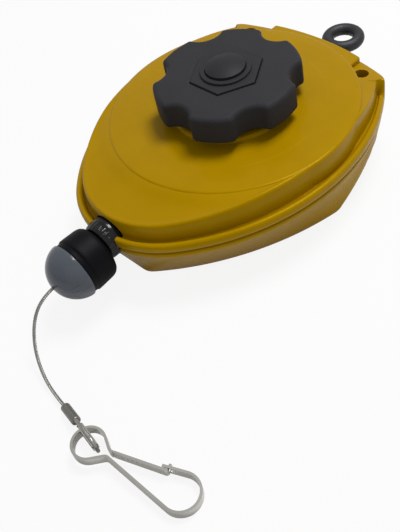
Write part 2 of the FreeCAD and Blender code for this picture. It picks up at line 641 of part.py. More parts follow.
def outlet():
    front = "(nose_reach + collar_proud)"
    nozzle = turned("nozzle_body", along_y([
        ("liner_radius", front), ("collar_radius - 1.2", front), ("collar_radius", f"{front} - 1.2"),
        ("collar_radius", f"{COLLAR_BACK}"), ("neck_radius", COLLAR_BACK), ("neck_radius", NOSE_INNER),
        ("nozzle_flange_radius", NOSE_INNER), ("nozzle_flange_radius", f"{NOSE_INNER} - nozzle_flange"),
        ("liner_radius", f"{NOSE_INNER} - nozzle_flange")]), "XY_Plane", z="rear_depth")
    node(nozzle, "outlet_nozzle")
    liner = turned("liner_body", along_y([
        ("liner_bore", f"{front} - 2"), ("liner_bore + 1.4", front), ("liner_radius", front),
        ("liner_radius", f"{NOSE_INNER} - nozzle_flange"), ("liner_flare", f"{NOSE_INNER} - nozzle_flange"),
        ("liner_bore + 0.8", f"{NOSE_INNER} + 4"), ("liner_bore", f"{NOSE_INNER} + 9")]),
        "XY_Plane", z="rear_depth")
    node(liner, "rope_guide")


def hanging_eye():
    centre = "(top_reach + eye_centre)"
    ring = doc.addObject("Part::Torus", "eye_ring")
    bind(ring, "Radius1", "eye_radius")
    bind(ring, "Radius2", "eye_section")
    place(ring, "0", centre, "rear_depth")
    washer_face = f"({TOP_INNER} - face_gap - eye_washer)"
    end = f"({washer_face} - eye_nut_height - stem_end)"
    stem = cylinder("eye_stem", "stem_radius", f"{centre} - eye_radius - 0.5 - {end}", "0", end, "rear_depth", ALONG_Y)
    flange = cylinder("eye_flange", "eye_flange_radius", "eye_flange", "0", "top_reach + face_gap",
                      "rear_depth", ALONG_Y)
    neck = cone("eye_neck", "eye_flange_radius - 0.4", "stem_radius", "eye_flange * 2.4", "0",
                "top_reach + face_gap + eye_flange", "rear_depth", ALONG_Y)
    root = doc.addObject("Part::Sphere", "eye_root")
    bind(root, "Radius", "stem_radius")
    place(root, "0", f"{centre} - eye_radius - 0.5", "rear_depth")
    land = cylinder("eye_land", "eye_bore", "eye_section * 2 + 2", "0", centre, "rear_depth - eye_section - 1")
    node(cut("suspension_eye_solid", fuse("eye_whole", ring, stem, root, flange, neck), land), "suspension_eye")
    bush = turned("eye_bush_body", [
        ("stem_radius + fit_gap", TOP_INNER), ("eye_bush_radius", TOP_INNER),
        ("eye_bush_radius", "top_reach"), ("stem_radius + fit_gap", "top_reach")],
        "XY_Plane", z="rear_depth")
    node(bush, "eye_bush")
    washer = turned("eye_washer_body", [
        ("stem_radius", washer_face), ("eye_washer_radius", washer_face),
        ("eye_washer_radius", f"{washer_face} + eye_washer"), ("stem_radius", f"{washer_face} + eye_washer")],
        "XY_Plane", z="rear_depth")
    node(washer, "eye_washer_plate")
    nut = prism("eye_nut_body", [polar("eye_nut_radius", 60 * i) for i in range(6)], "0", "eye_nut_height")
    nut.Placement = Placement(Vector(0, num(f"{washer_face} - eye_nut_height"), num("rear_depth")), ALONG_Y)
    hole = cylinder("eye_nut_hole", "stem_radius", "eye_nut_height + 2", "0",
                    f"{washer_face} - eye_nut_height - 1", "rear_depth", ALONG_Y)
    node(cut("eye_nut_solid", nut, hole), "eye_nut")


# Arbor line

def bushes():
    inner, outer = "arbor_radius + fit_gap", "arbor_radius + bush_wall"
    rear = turned("rear_bush_body", [
        (inner, "wall + 0.1"), (outer, "wall + 0.1"), (outer, REAR_BUSH_FLANGE),
        ("bush_flange_radius", REAR_BUSH_FLANGE), ("bush_flange_radius", f"{REAR_BUSH_FLANGE} + bush_flange"),
        (inner, f"{REAR_BUSH_FLANGE} + bush_flange")])
    node(rear, "rear_bush")
    front_foot = f"({CROWN} - wall)"
    front = turned("front_bush_body", [
        (inner, front_foot), (outer, front_foot), (outer, BOSS_TOP), ("front_flange_radius", BOSS_TOP),
        ("front_flange_radius", f"{BOSS_TOP} + front_flange"), (inner, f"{BOSS_TOP} + front_flange")])
    node(front, "front_bush")
    low = turned("drum_bush_low", [
        (inner, "drum_foot - drum_bush_flange"), ("drum_bush_flange_radius", "drum_foot - drum_bush_flange"),
        ("drum_bush_flange_radius", "drum_foot"), (outer, "drum_foot"), (outer, "drum_foot + drum_web"),
        (inner, "drum_foot + drum_web")])
    high = turned("drum_bush_high", [
        (inner, GROOVE_TOP), (outer, GROOVE_TOP), (outer, DRUM_TOP), ("drum_bush_flange_radius", DRUM_TOP),
        ("drum_bush_flange_radius", f"{DRUM_TOP} + drum_bush_flange"), (inner, f"{DRUM_TOP} + drum_bush_flange")])
    node(group("drum_bushes_group", low, high), "drum_bushes")


PIN_LINE = "(wheel_top - wheel_height / 2)"
ROD_FOOT = "(wheel_top - wheel_height / 2 - rod_below)"


def arbor():
    rod_hole = "rod_radius + rod_gap"
    shaft = turned("arbor_body", [
        ("0", "arbor_foot"), ("arbor_radius - 0.6", "arbor_foot"), ("arbor_radius", "arbor_foot + 0.6"),
        ("arbor_radius", "drum_foot + drum_web + spring_gap"),
        ("core_radius", "drum_foot + drum_web + spring_gap"), ("core_radius", f"{GROOVE_TOP} - spring_gap"),
        ("arbor_radius", f"{GROOVE_TOP} - spring_gap"), ("arbor_radius", "arbor_top"),
        (rod_hole, "arbor_top"), (rod_hole, f"{ROD_FOOT} - button_travel - 0.2"),
        ("0", f"{ROD_FOOT} - button_travel - 0.2")])
    slot_half = "(pin_radius + slot_gap / 2)"
    slot = box("arbor_slot", "4 * arbor_radius", f"2 * {slot_half}",
               f"button_travel + 2 * pin_radius + 2 * slot_gap", "-2 * arbor_radius", f"-{slot_half}",
               f"{PIN_LINE} - pin_radius - slot_gap - button_travel")
    keyway = box("arbor_keyway", "arbor_radius", "2 * key_half", "key_length", "key_low", "-key_half", "key_foot")
    tang = box("arbor_tang_slot", "core_radius", "spring_strip + 0.3", "3 * core_radius", "core_radius - 2.2",
               "-(spring_strip + 0.15)", "drum_foot + drum_web")
    node(cut("arbor_solid", shaft, slot, keyway, tang), "arbor")


def drum():
    inner = "(wind_radius - drum_rim)"
    web_top = "(drum_foot + drum_web)"
    bore = "arbor_radius + bush_wall"
    flange_foot = f"({GROOVE_FOOT} - drum_flange)"
    solid = turned("drum_body", [
        (bore, "drum_foot"), ("wind_radius", "drum_foot"), ("wind_radius", flange_foot),
        ("flange_radius", flange_foot), ("flange_radius", GROOVE_FOOT), ("wind_radius", GROOVE_FOOT),
        ("wind_radius", GROOVE_TOP), (inner, GROOVE_TOP), (inner, web_top), (bore, web_top)])
    screw_circle = "(wind_radius - drum_rim / 2)"
    spots = [polar(screw_circle, f"(360 / cover_screw_count * {i})") for i in range(int(num("cover_screw_count")))]
    holes = [cylinder(f"drum_screw_hole_{i}", "cover_screw_radius", "cover_screw_length", x, y,
                      f"{DRUM_TOP} - cover_screw_length") for i, (x, y) in enumerate(spots)]
    windows = [cylinder(f"drum_window_{i}", "wind_radius * 0.14", "drum_web + 2",
                        *polar("(wind_radius * 0.6)", 60 * i + 30), "drum_foot - 1") for i in range(6)]
    node(cut("cable_drum_solid", solid, *holes, *windows), "cable_drum")
    plate = turned("cover_body", [(bore, GROOVE_TOP), ("flange_radius", GROOVE_TOP), ("flange_radius", DRUM_TOP),
                                  (bore, DRUM_TOP)])
    seats = [cone(f"cover_seat_{i}", "cover_screw_radius", "cover_screw_radius + drum_flange", "drum_flange",
                  x, y, GROOVE_TOP) for i, (x, y) in enumerate(spots)]
    node(cut("drum_cover_solid", plate, *seats), "drum_cover")
    screws = []
    for i, (x, y) in enumerate(spots):
        head = cone(f"cover_screw_head_{i}", "cover_screw_radius", "cover_screw_radius + drum_flange - 0.1",
                    "drum_flange - 0.1", x, y, GROOVE_TOP)
        shank = cylinder(f"cover_screw_shank_{i}", "cover_screw_radius", "cover_screw_length - drum_flange",
                         x, y, f"{DRUM_TOP} - cover_screw_length")
        screws.append(fuse(f"cover_screw_{i}", head, shank))
    node(group("cover_screws_group", *screws), "cover_screws")
    turns = []
    for i in range(int(num("rope_turns"))):
        turn = doc.addObject("Part::Torus", f"rope_turn_{i}")
        bind(turn, "Radius1", "wind_radius + rope_radius")
        bind(turn, "Radius2", "rope_radius")
        turns.append(place(turn, "0", "0", f"rear_depth - {i} * turn_pitch"))
    node(group("rope_turns_group", *turns), "wound_rope")


def power_spring():
    """Flat spiral of half circles about two centres, with a tang in the arbor's slot."""
    strip, pitch = num("spring_strip"), num("spring_pitch")
    radius = num("core_radius") + strip / 2 + 0.3
    limit = num("wind_radius - drum_rim - spring_gap") - strip / 2 - pitch / 2
    tang_foot = num("core_radius") - 1.8
    tang_length = radius + strip / 2 - tang_foot
    segments = []
    while radius < limit:
        lower = len(segments) % 2
        segments.append(("arc", Vector(lower * pitch / 2, 0, 0), radius, lower * math.pi,
                         (lower + 1) * math.pi))
        radius += pitch / 2
    width = num(f"{GROOVE_TOP} - drum_foot - drum_web - 2 * spring_gap")
    tang = Part.makeBox(tang_length, strip, width, Vector(tang_foot, -strip, 0))
    coil = ribbon(segments, strip, width).fuse(tang)
    coil.translate(Vector(0, 0, num("drum_foot + drum_web + spring_gap")))
    node(solid_feature("power_spring_solid", coil), "power_spring")


def ratchet():
    steps = int(num("tooth_count"))
    pitch = 360.0 / steps
    root = "(wheel_radius - tooth_depth)"
    corners = []
    for i in range(steps):
        corners.append(polar("wheel_radius", round(90 + pitch * i, 4)))
        corners.append(polar(root, round(90 + pitch * (i + 1) - 0.5, 4)))
    wheel = prism("wheel_body", corners, "wheel_top - wheel_height", "wheel_height")
    bore = cylinder("wheel_bore", "arbor_radius + wheel_gap", "wheel_height + 2", "0", "0",
                    "wheel_top - wheel_height - 1")
    pin_hole = cylinder("wheel_pin_hole", "pin_radius", "2 * pin_half", "-pin_half", "0", PIN_LINE, ALONG_X)
    node(cut("ratchet_wheel_solid", wheel, bore, pin_hole), "ratchet_wheel")
    pin = cylinder("cross_pin_full", "pin_radius", "2 * pin_half", "-pin_half", "0", PIN_LINE, ALONG_X)
    rod = turned("rod_body", [("0", ROD_FOOT), ("rod_radius - 0.4", ROD_FOOT), ("rod_radius", f"{ROD_FOOT} + 0.4"),
                              ("rod_radius", "button_foot + button_socket"), ("0", "button_foot + button_socket")])
    rod_hole = cylinder("rod_pin_hole", "pin_radius", "2 * pin_half", "-pin_half", "0", PIN_LINE, ALONG_X)
    node(cut("push_rod_solid", rod, rod_hole), "push_rod")
    node(pin, "cross_pin")


def pawl():
    """Leaf pawl: its tip waits in a tooth gap of the ratchet wheel, its tab hangs from the front shell."""
    foot = num("wheel_top - 0.4 - pawl_height")
    angle = math.radians(num("pawl_angle"))
    start = Vector(0.5, num("wheel_radius - tooth_depth + pawl_gap") + num("pawl_strip") / 2, 0)
    run = Vector(math.cos(angle), math.sin(angle), 0)
    leaf = ribbon([("line", start, start + run * num("pawl_length"))], num("pawl_strip"), num("pawl_height"))
    leaf.translate(Vector(0, 0, foot))
    tab = box("pawl_tab_plate", "pawl_tab", "pawl_tab", "pawl_strip", z=f"{CROWN} - wall - pawl_strip")
    corner = start + run * (num("pawl_length") - 0.8)
    tab.Placement = Placement(Vector(corner.x, corner.y - 2.4, num(f"{CROWN} - wall - pawl_strip")), Rotation())
    hole = cylinder("pawl_tab_hole", "pawl_screw_radius", "6", *PAWL_SPOT, f"{CROWN} - wall - 3")
    blade = solid_feature("pawl_leaf", leaf)
    riser = box("pawl_riser", "2.4", "1.6", "2.2")
    riser.Placement = Placement(Vector(corner.x - 0.4, corner.y - 0.6, num(f"{CROWN} - wall - 2.2")), Rotation())
    node(cut("pawl_solid", fuse("pawl_whole", blade, tab, riser), hole), "ratchet_pawl")
    head_top = f"({CROWN} - wall - pawl_strip)"
    head = cylinder("pawl_screw_head", "pawl_screw_radius + 1.3", "1.6", *PAWL_SPOT, f"{head_top} - 1.6")
    shank = cylinder("pawl_screw_shank", "pawl_screw_radius", "wall - 0.2", *PAWL_SPOT, head_top)
    node(fuse("pawl_screw_solid", head, shank), "pawl_screw")


# Knob line

def knob():
    disc = cylinder("knob_disc", "knob_radius", "knob_top - knob_foot", "0", "0", "knob_foot")
    bites = [cylinder(f"knob_bite_{i}", "scallop_radius", "knob_top - knob_foot + 4",
                      *polar("scallop_centre", 30 + 60 * i), "knob_foot - 2") for i in range(6)]
    lobed = cut("knob_lobed", disc, *bites)
    upright = rounded("knob_upright", lobed, "scallop_round",
                      lambda e: e.BoundBox.ZLength > num("knob_top - knob_foot") - 0.1
                      and e.BoundBox.XLength + e.BoundBox.YLength < 0.01
                      and math.hypot(e.BoundBox.Center.x, e.BoundBox.Center.y) > num("knob_radius") - 1.5)
    top = rounded("knob_top_soft", upright, "knob_round", lambda e: flat_at(e, num("knob_top")))
    foot = rounded("knob_foot_soft", top, "knob_foot_round", lambda e: flat_at(e, num("knob_foot")))
    hollow = cut("knob_hollow", cylinder("knob_hollow_outer", "knob_rim", "knob_top - knob_foot - knob_skin + 2",
                                         "0", "0", "knob_foot - 2"),
                 cylinder("knob_hollow_core", "knob_core", "knob_top", "0", "0", "knob_foot - 4"))
    ribs = []
    for i in range(3):
        rib = box(f"knob_rib_{i}", "2 * knob_radius", "rib_width", "knob_top")
        turn = Rotation(Vector(0, 0, 1), 60 * i)
        corner = turn.multVec(Vector(-num("knob_radius"), -num("rib_width") / 2, 0))
        rib.Placement = Placement(Vector(corner.x, corner.y, num("knob_foot") - 4), turn)
        ribs.append(rib)
    ribbed = cut("knob_hollow_ribbed", hollow, *ribs)
    bore = cylinder("knob_bore", "hub_radius", "2 * knob_top", "0", "0", "0")
    seat = prism("knob_hex_seat", [polar("(hub_hex + hex_gap)", 60 * i) for i in range(6)], "hub_hex_foot", "knob_top")
    node(cut("knob_solid", foot, ribbed, bore, seat), "tension_knob")


def hub():
    sleeve = cylinder("hub_sleeve", "hub_radius", f"hub_hex_foot + 1 - {FRONT_SEAT}", "0", "0", FRONT_SEAT)
    head = prism("hub_head", [polar("hub_hex", 60 * i) for i in range(6)], "hub_hex_foot",
                 f"{HUB_TOP} - hub_hex_foot")
    head_soft = rounded("hub_head_soft", head, "0.5", lambda e: flat_at(e, num(HUB_TOP)))
    raised = cylinder("hub_raised", "collar_ring_radius", "collar_ring_rise + 1", "0", "0", f"{HUB_TOP} - 1")
    raised_soft = rounded("hub_raised_soft", raised, "0.5", lambda e: flat_at(e, num(f"{HUB_TOP} + collar_ring_rise")))
    pocket = cylinder("hub_pocket", "button_radius + button_gap", "knob_top", "0", "0", "hub_floor")
    shaft_bore = cylinder("hub_shaft_bore", "arbor_radius", "arbor_top", "0", "0", "0")
    rod_bore = cylinder("hub_rod_bore", "rod_radius + rod_gap", "knob_top", "0", "0", "arbor_top - 1")
    keyway = box("hub_keyway", "key_high", "2 * key_half", "key_length", "0", "-key_half", "key_foot")
    screw = cylinder("hub_screw_hole", "set_screw_radius", "2 * hub_radius", "-2 * hub_radius", "0",
                     "set_screw_height", ALONG_X)
    groove = cut("hub_ring_groove", cylinder("hub_groove_outer", "hub_radius + 1", "ring_height", "0", "0", "ring_foot"),
                 cylinder("hub_groove_inner", "ring_groove", "ring_height", "0", "0", "ring_foot"))
    node(cut("knob_hub_solid", fuse("hub_whole", sleeve, head_soft, raised_soft), pocket, shaft_bore, rod_bore,
             keyway, screw, groove), "knob_hub")
    ring = cut("ring_flat", cylinder("ring_outer", "ring_radius", "ring_height", "0", "0", "ring_foot"),
               cylinder("ring_inner", "ring_groove", "ring_height", "0", "0", "ring_foot"),
               box("ring_opening", "ring_radius + 2", "6", "ring_height", "0", "-3", "ring_foot"))
    node(ring, "hub_retaining_ring")
    node(box("key_block", "key_high - key_low", "2 * key_half", "key_length", "key_low", "-key_half", "key_foot"),
         "hub_key")
    grub = cylinder("grub_full", "set_screw_radius", "hub_radius - arbor_radius - 0.3", "0.3 - hub_radius", "0",
                    "set_screw_height", ALONG_X)
    socket = cylinder("grub_socket", "set_screw_radius * 0.5", "2", "-0.2 - hub_radius", "0",
                      "set_screw_height", ALONG_X)
    node(cut("hub_set_screw_solid", grub, socket), "hub_set_screw")


def button():
    cap = cylinder("button_cap", "button_radius", "button_shoulder - button_foot", "0", "0", "button_foot")
    base, rise = num("button_radius"), num("button_dome")
    sphere_radius = (base ** 2 + rise ** 2) / (2 * rise)
    ball = doc.addObject("Part::Sphere", "button_ball")
    bind(ball, "Radius", "(button_radius^2 + button_dome^2) / (2 * button_dome)")
    place(ball, "0", "0", "button_shoulder + button_dome - (button_radius^2 + button_dome^2) / (2 * button_dome)")
    crown = common("button_crown", ball, cylinder("button_limit", "button_radius", f"{2 * sphere_radius}", "0", "0",
                                                  "button_foot + 1"))
    whole = fuse("button_whole", cap, crown)
    hollow = cut("button_hollow", cylinder("button_hollow_outer", "button_radius - 1.6", "button_socket - 0.4",
                                           "0", "0", "button_foot - 0.01"),
                 cylinder("button_hollow_inner", "button_boss", "button_socket + 1", "0", "0", "button_foot - 0.5"))
    rod_hole = cylinder("button_rod_hole", "rod_radius", "button_socket + 1", "0", "0", "button_foot - 1")
    node(cut("release_button_solid", whole, hollow, rod_hole), "release_button")
    wire = num("return_wire")
    height = num("button_foot + button_socket - 0.4 - hub_floor") - 2 * wire - 0.06
    turns = num("return_turns")
    helix = Part.makeHelix(height / turns, height, num("return_radius"))
    spine = Part.Wire(helix)
    start = spine.OrderedVertexes[0].Point
    ring = Part.Wire(Part.Circle(start, Vector(0, 1, 0), wire).toShape())
    coil = spine.makePipeShell([ring], True, True)
    coil.translate(Vector(0, 0, num("hub_floor") + wire + 0.03))
    node(solid_feature("button_spring_solid", coil), "button_spring")


# Bumper and stop

def bumper_and_stop():
    face, back = BUMPER_FACE, BUMPER_BACK
    rubber = turned("bumper_body", along_y([
        ("bumper_bore + 1.6", back), ("bumper_radius", back), ("bumper_radius", face),
        ("spigot_radius", face), ("spigot_radius", f"{face} - spigot_length - 0.2"),
        ("bumper_bore", f"{face} - spigot_length - 0.2"), ("bumper_bore", f"{back} + 5")]), "XY_Plane", z=STOP_LINE)
    doc.recompute()
    soft = rounded("bumper_soft", rubber, "bumper_round",
                   lambda e: abs(e.BoundBox.YMax + num(back)) < 0.01 and e.BoundBox.YLength < 0.01
                   and e.BoundBox.XLength > 2 * num("bumper_radius") - 0.1)
    node(soft, "rubber_bumper")
    full = turned("stop_body", along_y([
        ("rope_radius", f"{face} - spigot_length"), ("spigot_radius", f"{face} - spigot_length"),
        ("spigot_radius", face), ("bumper_radius", face), ("bumper_radius", f"{face} + stop_cylinder"),
        ("rope_radius", f"{face} + stop_cylinder")]), "XY_Plane", z=STOP_LINE)
    ball_radius = "((bumper_radius^2 + stop_dome^2) / (2 * stop_dome))"
    ball = doc.addObject("Part::Sphere", "stop_ball")
    bind(ball, "Radius", ball_radius)
    place(ball, "0", f"-({POLE} - {ball_radius})", STOP_LINE)
    dome = common("stop_dome_solid", ball, cylinder("stop_dome_limit", "bumper_radius", "3 * bumper_radius", "0",
                                                    f"-({face} + stop_cylinder)", STOP_LINE, AGAINST_Y))
    rope_hole = cylinder("stop_rope_hole", "rope_radius", "3 * bumper_radius", "0", f"-({face} - spigot_length - 1)",
                         STOP_LINE, AGAINST_Y)
    chamber = cylinder("stop_chamber", "crimp_radius", "crimp_length", "0", f"-{CRIMP_BACK}", STOP_LINE, AGAINST_Y)
    screw_y = f"-({face} + stop_screw_y)"
    tops = []
    screws = []
    for i, x in enumerate(("stop_screw_x", "-stop_screw_x")):
        foot = f"({STOP_LINE} - stop_screw_length * 0.55)"
        tops.append(cylinder(f"stop_screw_hole_{i}", "stop_screw_radius", "stop_screw_length", x, screw_y, foot))
        tops.append(cylinder(f"stop_head_hole_{i}", "stop_screw_head + 0.2", "bumper_radius", x, screw_y,
                             f"{foot} - bumper_radius"))
        shank = cylinder(f"stop_screw_shank_{i}", "stop_screw_radius", "stop_screw_length - 0.5", x, screw_y, foot)
        head = cylinder(f"stop_screw_head_{i}", "stop_screw_head", "1.6", x, screw_y, f"{foot} - 1.6")
        socket = prism(f"stop_screw_socket_{i}", [polar("(stop_screw_head * 0.5)", 60 * k) for k in range(6)],
                       f"{foot} - 1.7", "1.1", x, screw_y)
        screws.append(cut(f"stop_screw_{i}", fuse(f"stop_screw_full_{i}", shank, head), socket))
    whole = cut("stop_whole", fuse("stop_joined", full, dome), rope_hole, chamber, *tops)
    for name, low in (("stop_half_upper", f"{STOP_LINE} + seam_gap / 2"),
                      ("stop_half_lower", f"{STOP_LINE} - seam_gap / 2 - 2 * bumper_radius")):
        half = box(name + "_space", "4 * bumper_radius", "4 * bumper_radius", "2 * bumper_radius",
                   "-2 * bumper_radius", f"-({face} + 2 * bumper_radius)", low)
        node(common(name + "_solid", whole, half), name)
    node(group("stop_screws_group", *screws), "stop_screws")
    crimp = cut("crimp_tube", cylinder("crimp_outer", "crimp_radius", "crimp_length", "0", f"-{CRIMP_BACK}",
                                       STOP_LINE, AGAINST_Y),
                cylinder("crimp_inner", "rope_radius", "crimp_length + 2", "0", f"-({CRIMP_BACK} - 1)",
                         STOP_LINE, AGAINST_Y))
    node(crimp, "stop_crimp")


CRIMP_BACK = f"({BUMPER_FACE} - 4.5)"


# Cable: what the casing holds, and the free end with its loop

def inner_cable():
    """The lead from the drum's top turn to the nozzle; it is drawn from where it clears the turns."""
    wound = num("wind_radius + rope_radius")
    guide = num(f"{NOSE_INNER}")
    angle = math.acos(wound / guide)
    height = num("rear_depth")
    leave = Vector(wound * math.sin(angle), -wound * math.cos(angle), height)
    corner = Vector(0, -guide, height)
    run = (corner - leave).normalize()
    clear = math.sqrt(2 * wound * (2 * num("rope_radius") + 0.35))
    end = Vector(0, -num("nose_reach + collar_proud") + 1.0, height)
    points = [leave + run * clear, corner, end]
    node(solid_feature("inner_cable_solid", tube("inner_cable", points, num("rope_radius"))), "inner_cable")
    level, line = num("rear_depth"), num(STOP_LINE)
    back = num(BUMPER_BACK)
    route = [Vector(0, -back - 0.7, level - 0.4), Vector(0, -back - 2.9, level - 0.8),
             Vector(0, -num(f"{BUMPER_FACE} - spigot_length") + 2.6, line), Vector(0, -num(POLE), line)]
    node(solid_feature("bumper_cable_solid", tube("bumper_cable", route, num("rope_radius"))), "bumper_cable")


# Corners of the free cable: x, distance beyond the stop's pole, height as a share of the stop's axis
CABLE_CORNERS = [(0.0, 6.6, 0.974), (1.0, 14.4, 0.739), (6.3, 21.8, 0.417), (15.6, 27.2, 0.191),
                 (26.6, 30.4, 0.083), (37.0, 31.6, 0.126)]
FERRULE_REACH = (48.0, 33.4)


def cable_points():
    """The free cable's route from the stop's pole to the ferrule."""
    pole, height = num(POLE), num(STOP_LINE)
    corners = [Vector(x, -pole - beyond, share * height) for x, beyond, share in CABLE_CORNERS]
    return [Vector(0, -pole, height)] + corners


def ferrule_end():
    """Where the ferrule lets the loop out, level with the middle of the hook's strip."""
    return Vector(FERRULE_REACH[0], -num(POLE) - FERRULE_REACH[1], num("hook_lift + hook_width / 2"))


def free_cable():
    points = cable_points()
    node(solid_feature("cable_solid", tube("cable", points, num("rope_radius"))), "cable")
    run = ferrule_end() - points[-1]
    sleeve = cylinder("ferrule_outer", "ferrule_radius", f"{run.Length:.4f}")
    sleeve.Placement = Placement(points[-1], Rotation(Vector(0, 0, 1), run))
    soft = rounded("ferrule_soft", sleeve, "0.7", lambda e: e.Curve.TypeId == "Part::GeomCircle")
    return node(soft, "crimp_ferrule")


def loop_frame():
    """Placement of the loop: its own X along the ferrule in plan, its own Y upwards."""
    run = ferrule_end() - cable_points()[-1]
    along = Vector(run.x, run.y, 0).normalize()
    side = Vector(along.y, -along.x, 0)
    matrix = FreeCAD.Matrix(along.x, 0, side.x, 0, along.y, 0, side.y, 0, 0, 1, 0, 0, 0, 0, 0, 1)
    return Placement(ferrule_end(), Placement(matrix).Rotation), along, side


def loop_corners(shrink):
    half, throat = num("loop_half") - shrink, num("loop_throat")
    tip = num("loop_length") - shrink
    return [(throat, half), (tip, half), (tip, -half), (throat, -half)], half


def cable_loop(ferrule):
    frame = loop_frame()[0]
    corners, half = loop_corners(0.0)
    start = num("loop_start")
    flat = [(-0.6, start)] + corners + [(-0.6, -start)]
    points = [frame.multVec(Vector(x, y, 0)) for x, y in flat]
    rope = tube("cable_loop", points, num("rope_radius"), 0.49)
    doc.recompute()
    node(solid_feature("cable_loop_solid", rope.cut(ferrule.Shape)), "cable_loop")
    inset = num("rope_radius") + num("thimble_strip") / 2 + 0.05
    corners, half = loop_corners(inset)
    opening = 1.5
    near = (opening + corners[0][0]) / 2
    path = rounded_path([(near, half / 2)] + corners + [(near, -half / 2)], [2.2, half, half, 2.2])
    width = num("thimble_width")
    strip = ribbon(path, num("thimble_strip"), width)
    strip.translate(Vector(0, 0, -width / 2))
    strip.Placement = frame * strip.Placement
    node(solid_feature("thimble_solid", strip.cut(rope)), "thimble")


# Snap hook of one bent strip, standing on its edge

def hook_paths():
    eye, neck, neck_half = num("hook_eye_radius"), num("hook_neck"), num("hook_neck_half")
    bend, bend_x = num("hook_bend_radius"), num("hook_bend_centre")
    corner = num("hook_corner")
    reach = math.hypot(neck, neck_half)
    leave = math.degrees(math.atan2(neck_half, neck)) + math.degrees(math.acos(eye / reach))
    ring = around((0, 0), eye, leave, 360 - leave, 4)
    far = math.hypot(bend_x - neck, neck_half)
    slope = math.degrees(math.asin(bend / far)) - math.degrees(math.atan2(neck_half, bend_x - neck))
    tangent = 90 + slope
    tip_ring = around((bend_x, 0), bend, -tangent, tangent, 3)
    last = (bend_x + bend * math.cos(math.radians(tangent)), bend * math.sin(math.radians(tangent)))
    run = num("hook_end_run")
    end = (last[0] - run * math.cos(math.radians(slope)), last[1] - run * math.sin(math.radians(slope)))
    root = num("gate_root")
    gate_tip = (end[0] + num("gate_overlap"),
                end[1] + num("gate_overlap") * math.tan(math.radians(slope)) - num("hook_strip + gate_gap"))
    gate_slope = math.atan2(gate_tip[1] - neck_half, gate_tip[0] - neck)
    gate_start = (neck + root * math.cos(gate_slope), neck_half + root * math.sin(gate_slope))
    frame = [end] + tip_ring[::-1] + [(neck, -neck_half)] + ring[::-1] + [(neck, neck_half), gate_start]
    radii = [bend] * 3 + [corner] + [eye] * 4 + [corner]
    tab = num("gate_tab")
    gate = [gate_start, gate_tip, (gate_tip[0] - tab * math.sin(gate_slope), gate_tip[1] + tab * math.cos(gate_slope))]
    return frame, radii, gate, gate_slope


def hook_placement():
    """The hook's small eye goes round the loop and its far end rests on the surface."""
    frame, along, side = loop_frame()
    strip, eye, across = num("hook_strip"), num("hook_eye_radius"), 1.5
    wall = ferrule_end() + along * (num("loop_throat") + 0.6 + strip / 2)
    centre = wall + along * math.sqrt(eye ** 2 - across ** 2) + side * across
    length = num("hook_bend_centre + hook_bend_radius") + strip / 2
    pitch = Rotation(Vector(0, 1, 0), math.degrees(math.asin(num("hook_lift") / length)))
    turn = Rotation(Vector(0, 0, 1), num("hook_angle")) * pitch
    return Placement(Vector(centre.x, centre.y, num("hook_lift")), turn), wall


def snap_hook():
    frame, radii, gate, gate_slope = hook_paths()
    width, strip = num("hook_width"), num("hook_strip")
    placement, wall = hook_placement()
    main = ribbon(rounded_path(frame, radii), strip, width)
    slot_width = num("gate_slot_width")
    slot = Part.makeBox(num("gate_overlap") + strip + 2.6, 6, slot_width,
                        Vector(frame[0][0] - 1.5, frame[0][1] - 2.6, (width - slot_width) / 2))
    hook = solid_feature("snap_hook_solid", main.cut(slot))
    hook.Placement = placement
    joint = num("gate_joint_gap")
    forward = (math.cos(gate_slope), math.sin(gate_slope))
    root = (gate[0][0] + joint * forward[0], gate[0][1] + joint * forward[1])
    arm = ribbon(rounded_path([root] + gate[1:], [strip * 0.8]), strip, width)
    tab_width = num("gate_tab_width")
    corner = Vector(gate[1][0] - 10, gate[1][1] + strip / 2 + 0.2, 0)
    above = Part.makeBox(20, 20, width, corner)
    middle = Part.makeBox(20, 20, tab_width, corner + Vector(0, 0, (width - tab_width) / 2))
    gate_piece = solid_feature("hook_gate_solid", arm.cut(above.cut(middle)))
    gate_piece.Placement = placement
    node(hook, "snap_hook")
    node(gate_piece, "hook_gate")
    pivot = placement.multVec(Vector(gate[0][0] + joint * forward[0] / 2, gate[0][1] + joint * forward[1] / 2,
                                     width / 2))
    print("hook wall", wall, "eye centre", placement.Base, "gate pivot", pivot)
    print("hook axis", placement.Rotation.multVec(Vector(0, 0, 1)), "along", loop_frame()[1])


front_shell()
rear_shell()
case_screws()
outlet()
hanging_eye()
bushes()
arbor()
drum()
power_spring()
ratchet()
pawl()
knob()
hub()
button()
bumper_and_stop()
inner_cable()
cable_loop(free_cable())
snap_hook()
doc.recompute()

for obj in doc.Objects:
    if "Invalid" in obj.State or "Error" in obj.State:
        raise RuntimeError(f"{obj.Name} ({obj.Label}) failed: {obj.State}")
for obj in NODES:
    if obj.Shape.isNull() or not obj.Shape.isValid():
        raise RuntimeError(f"{obj.Label} has no valid shape")
for obj in NODES:
    obj.Shape.exportStep(f"parts/{obj.Label}.step")
print(len(NODES), "nodes:", ", ".join(obj.Label for obj in NODES))
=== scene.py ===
import json
import math

import bpy
import numpy as np
from mathutils import Matrix, Vector


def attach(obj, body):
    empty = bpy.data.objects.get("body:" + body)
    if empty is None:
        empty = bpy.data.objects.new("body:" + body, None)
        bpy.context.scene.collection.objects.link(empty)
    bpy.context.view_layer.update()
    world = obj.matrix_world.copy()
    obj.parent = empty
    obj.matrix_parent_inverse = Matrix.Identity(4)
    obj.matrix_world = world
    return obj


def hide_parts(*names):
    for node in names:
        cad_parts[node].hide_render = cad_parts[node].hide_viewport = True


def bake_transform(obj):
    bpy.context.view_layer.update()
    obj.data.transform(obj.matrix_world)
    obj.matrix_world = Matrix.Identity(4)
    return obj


# Tool balancer on a pale ground, seen from the photograph's side. Metres, in the CAD frame.

